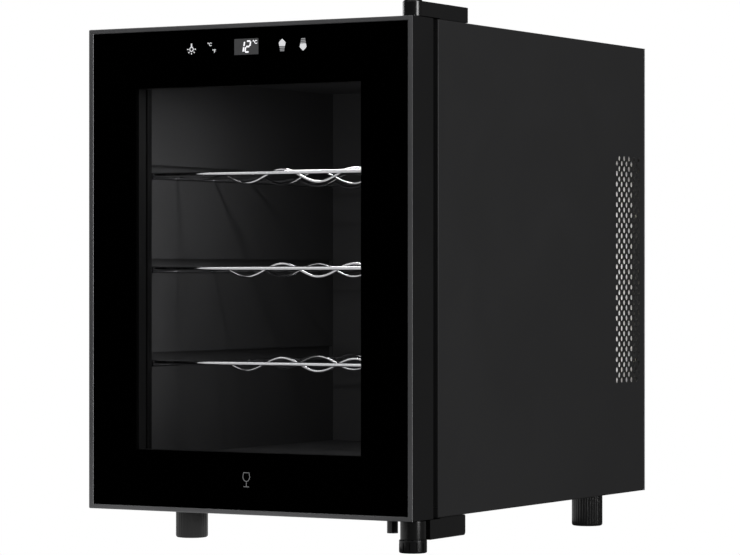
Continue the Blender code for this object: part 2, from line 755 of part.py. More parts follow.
def make_cold_cover(mat):
    """The grille that covers the cold fan on the liner's back wall."""
    back = CAVITY_BACK - FIT
    front = back - COLD_COVER_DEPTH
    wall = COLD_COVER_WALL
    bm = bmesh.new()
    box(bm, around(0, COLD_COVER), (front, back), around(MIDDLE, COLD_COVER))
    cover = settle("cold_air_cover", bm, mat)
    hollow = bmesh.new()
    inside = COLD_COVER - 2 * wall
    box(hollow, around(0, inside), (front + wall, back + wall), around(MIDDLE, inside))
    cut(cover, hollow)
    slots = bmesh.new()
    through = (front - wall, front + 2 * wall)
    for i in range(COLD_COVER_SLOTS):
        z = MIDDLE + (i - (COLD_COVER_SLOTS - 1) / 2) * COLD_FAN / COLD_COVER_SLOTS
        box(slots, around(0, COLD_FAN), through, around(z, COLD_COVER_SLOT))
    cut(cover, slots)


def make_grille(mat):
    """The louvred cover behind the hot fan, which also keeps the cooler off a wall."""
    front = CAB_BACK + FIT
    back = CAB_BACK + REAR_STANDOFF
    bm = bmesh.new()
    box(bm, around(0, GRILLE), (front, back), around(MIDDLE, GRILLE))
    cover = settle("rear_grille_cover", bm, mat)
    hollow = bmesh.new()
    inside = GRILLE - 2 * GRILLE_WALL
    box(hollow, around(0, inside), (front - FIT, back - GRILLE_WALL), around(MIDDLE, inside))
    cut(cover, hollow)
    slots = bmesh.new()
    step = (GRILLE - 2 * GRILLE_END) / GRILLE_SLOTS
    wide = around(0, GRILLE - 2 * GRILLE_EDGE)
    for i in range(GRILLE_SLOTS):
        z = MIDDLE + (i - (GRILLE_SLOTS - 1) / 2) * step
        box(slots, wide, (back - 2 * GRILLE_WALL, back + FIT), around(z, step / 2))
    cut(cover, slots)


def make_power(box_mat, gland_mat):
    """The power supply in the rear space and the cord's gland in the back."""
    wide, deep, tall = SUPPLY_SIZE
    back = PANEL_BACK - SHEET - SUPPLY_BACK
    z0 = BOTTOM + SHEET + SUPPLY_FLOOR
    bm = bmesh.new()
    box(bm, around(wide / 4, wide), (back - deep, back), (z0, z0 + tall))
    bmesh.ops.bevel(bm, geom=bm.edges[:], offset=SUPPLY_EDGE, segments=1, affect="EDGES")
    settle("power_supply_box", bm, box_mat)
    gland = bmesh.new()
    centre = (GLAND_X, 0, GLAND_Z)
    rod(gland, centre, GLAND_RADIUS, "Y", (CAB_BACK - GLAND_IN, CAB_BACK + GLAND_OUT / 2), 16)
    body = settle("cord_gland", gland, gland_mat, round_piece=True)
    flange = bmesh.new()
    rod(flange, centre, GLAND_FLANGE, "Y", (CAB_BACK + FIT, CAB_BACK + GLAND_OUT), 16)
    join(body, flange)
    bore = bmesh.new()
    rod(bore, centre, GLAND_BORE, "Y", (CAB_BACK - 2 * PAST, CAB_BACK + PAST), 16)
    cut(body, bore)


def make_spout(mat):
    """The condensate spout from the liner's floor down through the bottom."""
    bm = bmesh.new()
    z0, z1 = SPOUT_CLEAR, CAVITY_Z0 - LINER_WALL - FIT
    profile = [(SPOUT_BORE, z0), (SPOUT_RADIUS, z0), (SPOUT_RADIUS, z1), (SPOUT_BORE, z1)]
    turned(bm, profile, SPOUT_X, SPOUT_Y)
    settle("drain_spout", bm, mat, round_piece=True)


# ---- hinges and feet ----
def cover_outline(inset, back):
    """The top cover from above: a half round about the hinge axis and a straight body."""
    radius = COVER_HALF_WIDTH - inset
    front = arc(PIVOT_X, PIVOT_Y, radius, 180, 360, 12)
    return [*front, (PIVOT_X + radius, back - inset), (PIVOT_X - radius, back - inset)]


def make_top_hinge(steel, plastic):
    """The top bracket, its pin, and the cover with its cap."""
    back = PIVOT_Y + COVER_LENGTH
    half = COVER_HALF_WIDTH - COVER_WALL - 2 * FIT
    bend = PIVOT_Y + BRACKET_BEND
    step = ARM_Z - BRACKET_FOOT_Z
    front = PIVOT_Y - BRACKET_FRONT * half
    end = back - COVER_WALL - FIT
    outline = [
        (front, ARM_Z),
        (bend - step, ARM_Z),
        (bend, BRACKET_FOOT_Z),
        (end, BRACKET_FOOT_Z),
        (end, BRACKET_FOOT_Z + BRACKET_PLATE),
        (bend, BRACKET_FOOT_Z + BRACKET_PLATE),
        (bend - step, ARM_Z + BRACKET_PLATE),
        (front, ARM_Z + BRACKET_PLATE),
    ]
    bm = bmesh.new()
    prism(bm, outline, "X", around(PIVOT_X, BRACKET_WIDTH * half))
    bracket = settle("top_hinge_bracket", bm, steel)
    holes = bmesh.new()
    reach = (TOP - PAST, ARM_Z + 2 * PAST)
    rod(holes, (PIVOT_X, PIVOT_Y, 0), PIN_RADIUS + FIT, "Z", reach, 16)
    for y in SCREW_YS:
        rod(holes, (PIVOT_X, y, 0), SCREW_SHANK + FIT, "Z", reach, 12)
    cut(bracket, holes)

    pin = bmesh.new()
    seat = ARM_Z + BRACKET_PLATE + FIT
    low = DOOR_TOP - BUSH_LENGTH + PIN_TIP
    rod(pin, (PIVOT_X, PIVOT_Y, 0), PIN_RADIUS, "Z", (low, seat + PIN_HEAD_HEIGHT / 2), 16)
    pin_obj = settle("top_hinge_pin", pin, steel, round_piece=True)
    head = bmesh.new()
    rod(head, (PIVOT_X, PIVOT_Y, 0), PIN_RADIUS * PIN_HEAD, "Z", (seat, seat + PIN_HEAD_HEIGHT), 16)
    join(pin_obj, head)

    shell = bmesh.new()
    prism(shell, cover_outline(0, back), "Z", (COVER_Z0, COVER_Z1))
    cover = settle("top_hinge_cover", shell, plastic)
    skirt = bmesh.new()
    skirt_x = around(PIVOT_X, 2 * COVER_HALF_WIDTH - FIT)
    skirt_z = (BRACKET_FOOT_Z, COVER_Z0 + COVER_SKIRT)
    box(skirt, skirt_x, (CAB_FRONT + HOUSING_PAD, back - FIT), skirt_z)
    join(cover, skirt)
    hollow = bmesh.new()
    prism(hollow, cover_outline(COVER_WALL, back), "Z", (TOP - PAST, COVER_Z1 - COVER_WALL))
    cut(cover, hollow)

    cap = bmesh.new()
    z0 = COVER_Z1 + FIT
    rod(cap, (PIVOT_X, PIVOT_Y, 0), CAP_RADIUS, "Z", (z0, z0 + CAP_HEIGHT), 24)
    upper = [e for e in cap.edges if all(v.co.z > z0 + CAP_HEIGHT / 2 for v in e.verts)]
    bmesh.ops.bevel(cap, geom=upper, offset=CAP_BEVEL, segments=1, affect="EDGES")
    settle("hinge_cap", cap, plastic, round_piece=True)


def make_bottom_hinge(black, steel):
    """The bottom bracket: a barrel on the hinge axis and a housing bolted under the cabinet."""
    door_clear = DOOR_BOTTOM - FIT
    bm = bmesh.new()
    rod(bm, (PIVOT_X, PIVOT_Y, 0), BARREL_RADIUS, "Z", (RING_HEIGHT + FIT, door_clear), 24)
    bracket = settle("bottom_hinge_bracket", bm, black, round_piece=True)
    neck = bmesh.new()
    start = PIVOT_Y + HOUSING_START
    back = start + HOUSING_LENGTH
    low = HOUSING_CLEAR
    radius = HOUSING_CORNER
    corner = arc(back - radius, low + radius, radius, -90, 0, 4)
    outline = [
        (start, low),
        *corner,
        (back, BOTTOM - FIT),
        (CAB_FRONT + HOUSING_PAD, BOTTOM - FIT),
        (CAB_FRONT + HOUSING_PAD, door_clear),
        (start, door_clear),
    ]
    prism(neck, outline, "X", around(PIVOT_X, 2 * COVER_HALF_WIDTH))
    join(bracket, neck)
    web = bmesh.new()
    web_y = (PIVOT_Y + BARREL_RADIUS / 2, start + HOUSING_CORNER)
    web_z = (RING_HEIGHT + 2 * WEB_SETBACK, door_clear - WEB_SETBACK)
    box(web, around(PIVOT_X, COVER_HALF_WIDTH), web_y, web_z)
    join(bracket, web)
    holes = bmesh.new()
    stud_top = RING_HEIGHT + FIT + STUD_LENGTH
    rod(holes, (PIVOT_X, PIVOT_Y, 0), STUD_RADIUS + FIT, "Z", (0, stud_top), 16)
    for y in SCREW_YS:
        rod(holes, (PIVOT_X, y, 0), SCREW_HEAD + FIT, "Z", (0, BOTTOM - HINGE_SCREW_SEAT), 12)
    cut(bracket, holes)
    bores = bmesh.new()
    pin_hole = (stud_top - WEB_SETBACK, BOTTOM + PAST)
    rod(bores, (PIVOT_X, PIVOT_Y, 0), PIN_RADIUS + FIT, "Z", pin_hole, 16)
    for y in SCREW_YS:
        shank_hole = (BOTTOM - 1.5 * HINGE_SCREW_SEAT, BOTTOM + PAST)
        rod(bores, (PIVOT_X, y, 0), SCREW_SHANK + FIT, "Z", shank_hole, 12)
    cut(bracket, bores)
    pin = bmesh.new()
    pin_z = (stud_top + FIT, DOOR_BOTTOM + BUSH_LENGTH - PIN_TIP)
    rod(pin, (PIVOT_X, PIVOT_Y, 0), PIN_RADIUS, "Z", pin_z, 16)
    settle("bottom_hinge_pin", pin, steel, round_piece=True)


def make_levelling_foot(mat):
    """The knurled foot that screws up into the bottom barrel, on its own axis."""
    axis = axis_empty("levelling_foot_axis", (PIVOT_X, PIVOT_Y, RING_HEIGHT / 2))
    bm = bmesh.new()
    rod(bm, (PIVOT_X, PIVOT_Y, 0), RING_RADIUS, "Z", (0, RING_HEIGHT), 24)
    lower = [e for e in bm.edges if all(v.co.z < RING_HEIGHT / 2 for v in e.verts)]
    bmesh.ops.bevel(bm, geom=lower, offset=RING_BEVEL, segments=1, affect="EDGES")
    foot = settle("levelling_foot", bm, mat, axis, round_piece=True)
    stud = bmesh.new()
    stud_z = (RING_HEIGHT - STUD_RADIUS / 2, RING_HEIGHT + STUD_LENGTH - FIT)
    rod(stud, (PIVOT_X, PIVOT_Y, 0), STUD_RADIUS, "Z", stud_z, 16)
    join(foot, stud)
    grooves = bmesh.new()
    for i in range(RING_GROOVES):
        turn = 2 * math.pi * (i + 0.5) / RING_GROOVES
        x = PIVOT_X + RING_RADIUS * math.cos(turn)
        y = PIVOT_Y + RING_RADIUS * math.sin(turn)
        rod(grooves, (x, y, 0), RING_GROOVE, "Z", (-PAST, RING_HEIGHT - RING_RIM), 4)
    cut(foot, grooves)


def make_feet(mat):
    """The three plain feet."""
    places = {
        "foot_front_left": (-SIDE + FRONT_FOOT_IN, FRONT + FRONT_FOOT_BACK),
        "foot_rear_left": (-SIDE + REAR_FOOT_IN, FRONT + REAR_FOOT_BACK),
        "foot_rear_right": (SIDE - REAR_FOOT_IN, FRONT + REAR_FOOT_BACK),
    }
    for name, (x, y) in places.items():
        bm = bmesh.new()
        rod(bm, (x, y, 0), FOOT_RADIUS, "Z", (0, BOTTOM - FIT), 24)
        lower = [e for e in bm.edges if all(v.co.z < BOTTOM / 2 for v in e.verts)]
        bmesh.ops.bevel(bm, geom=lower, offset=FOOT_BEVEL, segments=1, affect="EDGES")
        settle(name, bm, mat, round_piece=True)


def make_screw(name, place, axis, head_at, out, length, mat):
    """A round-headed screw; out is +1 or -1 along the axis, from the seat to the head."""
    bm = bmesh.new()
    tip = head_at - out * length
    root = head_at + out * SCREW_HEAD_HEIGHT / 2
    rod(bm, place, SCREW_SHANK, axis, sorted((tip, root)), 12)
    screw = settle(name, bm, mat, round_piece=True)
    head = bmesh.new()
    rod(head, place, SCREW_HEAD, axis, sorted((head_at, head_at + out * SCREW_HEAD_HEIGHT)), 12)
    join(screw, head)


def make_screws(mat):
    """Hinge screws and the screws of the back."""
    for i, y in enumerate(SCREW_YS, 1):
        seat = BRACKET_FOOT_Z + BRACKET_PLATE + FIT
        make_screw(f"top_hinge_screw_{i}", (PIVOT_X, y, 0), "Z", seat, 1, TOP_SCREW_LENGTH, mat)
    for i, y in enumerate(SCREW_YS, 1):
        seat = BOTTOM - HINGE_SCREW_SEAT - FIT
        make_screw(f"bottom_hinge_screw_{i}", (PIVOT_X, y, 0), "Z", seat, -1, BOTTOM_SCREW_LENGTH, mat)
    for i, (x, z) in enumerate(REAR_SCREWS, 1):
        seat = CAB_BACK + FIT
        make_screw(f"rear_screw_{i}", (x, 0, z), "Y", seat, 1, REAR_SCREW_LENGTH, mat)


def drill_flanges(panels):
    """Holes for the back's screws in the side panels' flanges."""
    for side, panel in panels.items():
        holes = bmesh.new()
        for x, z in REAR_SCREWS:
            if x * side > 0:
                span = (PANEL_BACK - 3 * SHEET, PANEL_BACK + SHEET)
                rod(holes, (x, 0, z), SCREW_SHANK + FIT, "Y", span, 10)
        cut(panel, holes)


# ---- door ----
def make_door_frame(mat, parent):
    """The moulded door: a rebate for the glass, a through opening, pockets for bushes and controls."""
    bm = bmesh.new()
    outer = (-SIDE, SIDE, DOOR_BOTTOM, DOOR_TOP)
    ring(bm, outer, (-OPENING_X, OPENING_X, OPENING_Z0, OPENING_Z1), (FRONT, DOOR_BACK))
    frame = settle("door_frame", bm, mat, parent)
    rebate = bmesh.new()
    x = SIDE - FRAME_SIDE
    z = (DOOR_BOTTOM + FRAME_END, DOOR_TOP - FRAME_END)
    box(rebate, (-x, x), (FRONT - GLASS, GLASS_BACK + FIT), z)
    cut(frame, rebate)
    pockets = bmesh.new()
    wide, deep, tall = CONTROL_SIZE
    control_z = DOOR_TOP - CONTROL_DOWN
    box(pockets, around(0, wide), (GLASS_BACK, GLASS_BACK + deep), around(control_z, tall))
    lower = (DOOR_BOTTOM - PAST, DOOR_BOTTOM + BUSH_LENGTH)
    for z in (lower, (DOOR_TOP - BUSH_LENGTH, DOOR_TOP + PAST)):
        rod(pockets, (PIVOT_X, PIVOT_Y, 0), BUSH_RADIUS + FIT, "Z", z, 20)
    cut(frame, pockets)


def make_panes(glass, inner_glass, black, parent):
    """The outer glass, the spacer, the inner pane and the stop that holds it."""
    x = SIDE - FRAME_SIDE - FIT
    z = (DOOR_BOTTOM + FRAME_END + FIT, DOOR_TOP - FRAME_END - FIT)
    bm = bmesh.new()
    box(bm, (-x, x), (FRONT + GLASS_RECESS, GLASS_BACK), z)
    settle("front_glass", bm, glass, parent)
    edge = OPENING_X - FIT
    edge_z = (OPENING_Z0 + FIT, OPENING_Z1 - FIT)
    spacer = bmesh.new()
    outer = (-edge, edge, *edge_z)
    inner = (-WINDOW_X, WINDOW_X, WINDOW_Z0, WINDOW_Z1)
    ring(spacer, outer, inner, (GLASS_BACK + FIT, PANE_FRONT - FIT))
    settle("pane_spacer", spacer, black, parent)
    pane = bmesh.new()
    box(pane, (-edge, edge), (PANE_FRONT, PANE_BACK), edge_z)
    settle("inner_glass", pane, inner_glass, parent)
    stop = bmesh.new()
    inner = (-edge + STOP_WIDTH, edge - STOP_WIDTH, edge_z[0] + STOP_WIDTH, edge_z[1] - STOP_WIDTH)
    ring(stop, outer, inner, (PANE_BACK + FIT, PANE_BACK + FIT + STOP_DEPTH))
    settle("glass_stop", stop, black, parent)


def make_controls(board_mat, display_mat, parent):
    """The control board and the display behind the glass."""
    wide, deep, tall = CONTROL_SIZE
    z = DOOR_TOP - CONTROL_DOWN
    show_wide, show_deep, show_tall = DISPLAY_SIZE
    front = GLASS_BACK + FIT
    display = bmesh.new()
    box(display, around(0, show_wide), (front, front + show_deep), around(z, show_tall))
    settle("display_module", display, display_mat, parent)
    board = bmesh.new()
    board_y = front + show_deep + FIT
    edge = BOARD_EDGE
    depth = (board_y, board_y + BOARD_THICKNESS)
    box(board, around(0, wide - edge), depth, around(z, tall - edge))
    settle("control_board", board, board_mat, parent)


def make_gasket(mat, parent):
    """The magnetic gasket on the door's back."""
    bm = bmesh.new()
    x = SIDE - GASKET_INSET
    z = (DOOR_BOTTOM + GASKET_INSET, DOOR_TOP - GASKET_INSET)
    width = GASKET_WIDTH
    outer = (-x, x, *z)
    inner = (-x + width, x - width, z[0] + width, z[1] - width)
    ring(bm, outer, inner, (DOOR_BACK + FIT, CAB_FRONT - FIT))
    settle("door_gasket", bm, mat, parent)


def make_bushes(mat, parent):
    """The plastic bushes that turn on the hinge pins."""
    bore = PIN_RADIUS + RUNNING
    spans = {
        "door_bush_top": (DOOR_TOP - BUSH_LENGTH + FIT, DOOR_TOP),
        "door_bush_bottom": (DOOR_BOTTOM, DOOR_BOTTOM + BUSH_LENGTH - FIT),
    }
    for name, (z0, z1) in spans.items():
        bm = bmesh.new()
        profile = [(bore, z0), (BUSH_RADIUS, z0), (BUSH_RADIUS, z1), (bore, z1)]
        turned(bm, profile, PIVOT_X, PIVOT_Y, 20)
        settle(name, bm, mat, parent, round_piece=True)


def main():
    """Build every piece of the cooler."""
    clear_scene()
    black_steel = finish("black_steel", (0.022, 0.022, 0.023), 0.45)
    black_plastic = finish("black_plastic", (0.014, 0.014, 0.015), 0.4)
    gloss_plastic = finish("gloss_black", (0.01, 0.01, 0.011), 0.2)
    liner_plastic = finish("liner_plastic", (0.03, 0.03, 0.031), 0.5)
    zinc = finish("zinc_steel", (0.6, 0.61, 0.62), 0.4, 0.9)
    chrome = finish("chrome_wire", (0.8, 0.8, 0.8), 0.12, 1.0)
    alloy = finish("aluminium", (0.7, 0.7, 0.71), 0.4, 1.0)
    foam = finish("foam", (0.8, 0.75, 0.6), 0.9)
    rubber = finish("rubber", (0.008, 0.008, 0.008), 0.7)
    clear_glass = finish("door_glass", (0.02, 0.02, 0.022), 0.05)
    board = finish("circuit_board", (0.02, 0.12, 0.05), 0.5)
    dark_display = finish("display", (0.045, 0.045, 0.05), 0.2)
    lens = finish("lens", (0.85, 0.86, 0.88), 0.3)
    ceramic = finish("ceramic", (0.9, 0.9, 0.88), 0.5)

    sides = {-1: make_side_panel("side_panel_left", -1, black_steel)}
    sides[1] = make_side_panel("side_panel_right", 1, black_steel)
    drill_flanges(sides)
    make_top_panel(black_steel)
    make_bottom_panel(black_steel)
    make_rear_panel(zinc)
    make_mouth_frame(black_plastic)
    make_liner(liner_plastic)
    make_foam(foam)
    for name, height in zip(("wire_rack_bottom", "wire_rack_middle", "wire_rack_top"), RACK_HEIGHTS):
        make_rack(name, height, chrome)
    make_lamp(board, lens)

    make_sinks(alloy)
    make_module(ceramic)
    cold_back = COLD_SINK_BACK - COLD_BASE - COLD_FINS - 2 * FIT
    fan_mats = (black_plastic, gloss_plastic)
    cold_front = cold_back - COLD_FAN_DEPTH
    make_fan("cold_fan", COLD_FAN, cold_front, COLD_FAN_DEPTH, False, *fan_mats)
    make_fan("hot_fan", HOT_FAN, HOT_FAN_FRONT, HOT_FAN_DEPTH, True, *fan_mats)
    make_cold_cover(liner_plastic)
    make_grille(black_plastic)
    make_power(black_plastic, rubber)
    make_spout(black_plastic)

    make_top_hinge(black_steel, gloss_plastic)
    make_bottom_hinge(black_steel, zinc)
    make_levelling_foot(gloss_plastic)
    make_feet(gloss_plastic)
    make_screws(zinc)

    door = axis_empty("door_axis", (PIVOT_X, PIVOT_Y, (DOOR_BOTTOM + DOOR_TOP) / 2))
    make_door_frame(black_plastic, door)
    make_panes(clear_glass, clear_glass, black_plastic, door)
    make_controls(board, dark_display, door)
    make_gasket(rubber, door)
    make_bushes(liner_plastic, door)


main()
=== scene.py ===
"""Looks of a counter-top wine cooler, built around its fixed frame of CAD solids.

Metres, +Z up. The cooler faces -Y and its door hinge is on the +X side.
"""

import logging
import math
from collections.abc import Callable, Iterable, Sequence
from dataclasses import dataclass, field
from enum import Enum
from typing import ClassVar

import bmesh
import bpy
from mathutils import Matrix, Vector


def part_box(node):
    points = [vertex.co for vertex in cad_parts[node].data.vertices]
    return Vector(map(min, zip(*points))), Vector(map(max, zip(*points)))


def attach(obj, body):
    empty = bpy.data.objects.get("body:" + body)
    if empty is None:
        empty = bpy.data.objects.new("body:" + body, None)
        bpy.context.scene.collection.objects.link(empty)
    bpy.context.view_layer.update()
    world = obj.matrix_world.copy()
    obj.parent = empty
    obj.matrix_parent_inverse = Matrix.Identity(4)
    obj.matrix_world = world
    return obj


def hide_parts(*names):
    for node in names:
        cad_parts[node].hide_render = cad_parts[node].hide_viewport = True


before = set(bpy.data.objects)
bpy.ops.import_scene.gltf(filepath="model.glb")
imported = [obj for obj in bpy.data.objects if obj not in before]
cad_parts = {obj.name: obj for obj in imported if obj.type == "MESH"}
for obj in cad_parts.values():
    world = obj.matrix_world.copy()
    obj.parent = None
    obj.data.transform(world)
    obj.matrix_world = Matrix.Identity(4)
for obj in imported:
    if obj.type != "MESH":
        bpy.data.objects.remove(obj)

LOG = logging.getLogger("wine_cooler")
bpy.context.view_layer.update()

Colour = tuple[float, float, float]
Place = tuple[float, float, float]
Thing = bpy.types.Object
Span = tuple[float, float]
Rule = Callable[[Vector, Vector], bool]  # tells from its two ends whether an edge is picked

NEAR = 1e-5  # how near a corner counts as lying on a coordinate
SHARP = 0.3  # least turn between two faces, in radians, that makes an edge worth a bevel
RELIEF = 0.6  # strength of every finish's relief


class Axis(Enum):
    """Direction that a round piece runs in, with the turn that takes an upright one there."""

    X = (0.0, math.pi / 2, 0.0)
    Y = (math.pi / 2, 0.0, 0.0)
    Z = (0.0, 0.0, 0.0)


class Body(Enum):
    """Rigid bodies that new pieces ride on."""

    CABINET = "cabinet"
    DOOR = "door"
    FOOT = "levelling_foot"


class Blend(Enum):
    """What a tool piece does to the piece that it meets."""

    ADD = "UNION"
    CUT = "DIFFERENCE"


class Pattern(Enum):
    """Fine pattern that a finish carries."""

    GRAIN = "grain"
    BRUSHED = "brushed"
    SPANGLE = "spangle"


# ---------------------------------------------------------------- shader groups
class Graph:
    """Adds and links the nodes of one material or group."""

    def __init__(self, tree: bpy.types.NodeTree) -> None:
        """Keep the node tree that this graph fills, of a material or a group."""
        self.tree = tree

    def add(self, kind: str, **values: object) -> bpy.types.Node:
        """Add a node and set its attributes.

        Args:
            kind: Blender's node type.
            values: attributes to set on the node.

        Returns:
            The new node.
        """
        node = self.tree.nodes.new(kind)
        for key, value in values.items():
            setattr(node, key, value)
        return node

    def link(self, source: bpy.types.NodeSocket, target: bpy.types.NodeSocket) -> None:
        """Join an output to an input."""
        self.tree.links.new(source, target)

    def texture(
        self, kind: str, vector: bpy.types.NodeSocket, scale: bpy.types.NodeSocket
    ) -> bpy.types.Node:
        """Add a texture that reads coordinates and a scale.

        Args:
            kind: Blender's node type.
            vector: coordinates to read.
            scale: repeats per metre.

        Returns:
            The texture node.
        """
        node = self.add(kind)
        self.link(vector, node.inputs["Vector"])
        self.link(scale, node.inputs["Scale"])
        return node


def mask_group(name: str) -> tuple[Graph, bpy.types.bpy_prop_collection, bpy.types.NodeSocket]:
    """Make an empty shader group that turns coordinates and a scale into a mask.

    Args:
        name: name of the group.

    Returns:
        The graph, its input sockets by name and the socket that takes the mask.
    """
    tree = bpy.data.node_groups.new(name, "ShaderNodeTree")
    for label, way, kind in (
        ("Vector", "INPUT", "NodeSocketVector"),
        ("Scale", "INPUT", "NodeSocketFloat"),
        ("Mask", "OUTPUT", "NodeSocketFloat"),
    ):
        tree.interface.new_socket(name=label, in_out=way, socket_type=kind)
    graph = Graph(tree)
    start = graph.add("NodeGroupInput")
    end = graph.add("NodeGroupOutput")
    return graph, start.outputs, end.inputs["Mask"]


class Effects:
    """The shader groups that several finishes share, each made once."""

    made: ClassVar[dict[str, bpy.types.NodeTree]] = {}

    @classmethod
    def get(cls, name: str, build: Callable[[], Graph]) -> bpy.types.NodeTree:
        """Return a group, made on first use.

        Args:
            name: name of the group.
            build: function that fills it.

        Returns:
            The group's node tree.
        """
        if name not in cls.made:
            cls.made[name] = build().tree
        return cls.made[name]

    @classmethod
    def pattern(cls, kind: Pattern) -> bpy.types.NodeTree:
        """Return the group that draws a fine pattern: a mask from 0 to 1.

        Args:
            kind: the pattern.

        Returns:
            The group's node tree.
        """
        builders = {
            Pattern.GRAIN: cls._grain,
            Pattern.BRUSHED: cls._brushed,
            Pattern.SPANGLE: cls._spangle,
        }
        return cls.get(kind.value, builders[kind])

    @staticmethod
    def _grain() -> Graph:
        """Build the moulded or powder-coated grain: noise and cells in equal parts.

        Returns:
            The group's graph.
        """
        graph, start, mask = mask_group("grain")
        fine = graph.texture("ShaderNodeTexNoise", start["Vector"], start["Scale"])
        fine.inputs["Detail"].default_value = 3.0
        cells = graph.texture("ShaderNodeTexVoronoi", start["Vector"], start["Scale"])
        mean = graph.add("ShaderNodeMath", operation="MULTIPLY_ADD")
        mean.inputs[1].default_value = 0.5
        graph.link(cells.outputs["Distance"], mean.inputs[0])
        half = graph.add("ShaderNodeMath", operation="MULTIPLY")
        half.inputs[1].default_value = 0.5
        graph.link(fine.outputs["Fac"], half.inputs[0])
        graph.link(half.outputs[0], mean.inputs[2])
        graph.link(mean.outputs[0], mask)
        return graph

    @staticmethod
    def _brushed() -> Graph:
        """Build brushed lines: noise drawn out along X.

        Returns:
            The group's graph.
        """
        graph, start, mask = mask_group("brushed")
        stretch = graph.add("ShaderNodeMapping")
        stretch.inputs["Scale"].default_value = (0.02, 1.0, 1.0)
        graph.link(start["Vector"], stretch.inputs["Vector"])
        lines = graph.texture("ShaderNodeTexNoise", stretch.outputs[0], start["Scale"])
        lines.inputs["Detail"].default_value = 4.0
        graph.link(lines.outputs["Fac"], mask)
        return graph

    @staticmethod
    def _spangle() -> Graph:
        """Build the crystal flakes of zinc plate.

        Returns:
            The group's graph.
        """
        graph, start, mask = mask_group("spangle")
        flakes = graph.texture("ShaderNodeTexVoronoi", start["Vector"], start["Scale"])
        tone = graph.add("ShaderNodeRGBToBW")
        graph.link(flakes.outputs["Color"], tone.inputs[0])
        graph.link(tone.outputs[0], mask)
        return graph

    @classmethod
    def handling(cls) -> bpy.types.NodeTree:
        """Return the group that draws the soft clouds left by wiping and handling."""
        return cls.get("handling", cls._handling)

    @staticmethod
    def _handling() -> Graph:
        """Build soft clouds with a slight swirl.

        Returns:
            The group's graph.
        """
        graph, start, mask = mask_group("handling")
        cloud = graph.texture("ShaderNodeTexNoise", start["Vector"], start["Scale"])
        cloud.inputs["Detail"].default_value = 2.0
        cloud.inputs["Distortion"].default_value = 0.6
        spread = graph.add("ShaderNodeMapRange")
        spread.inputs["From Min"].default_value = 0.35
        spread.inputs["From Max"].default_value = 0.65
        graph.link(cloud.outputs["Fac"], spread.inputs["Value"])
        graph.link(spread.outputs[0], mask)
        return graph


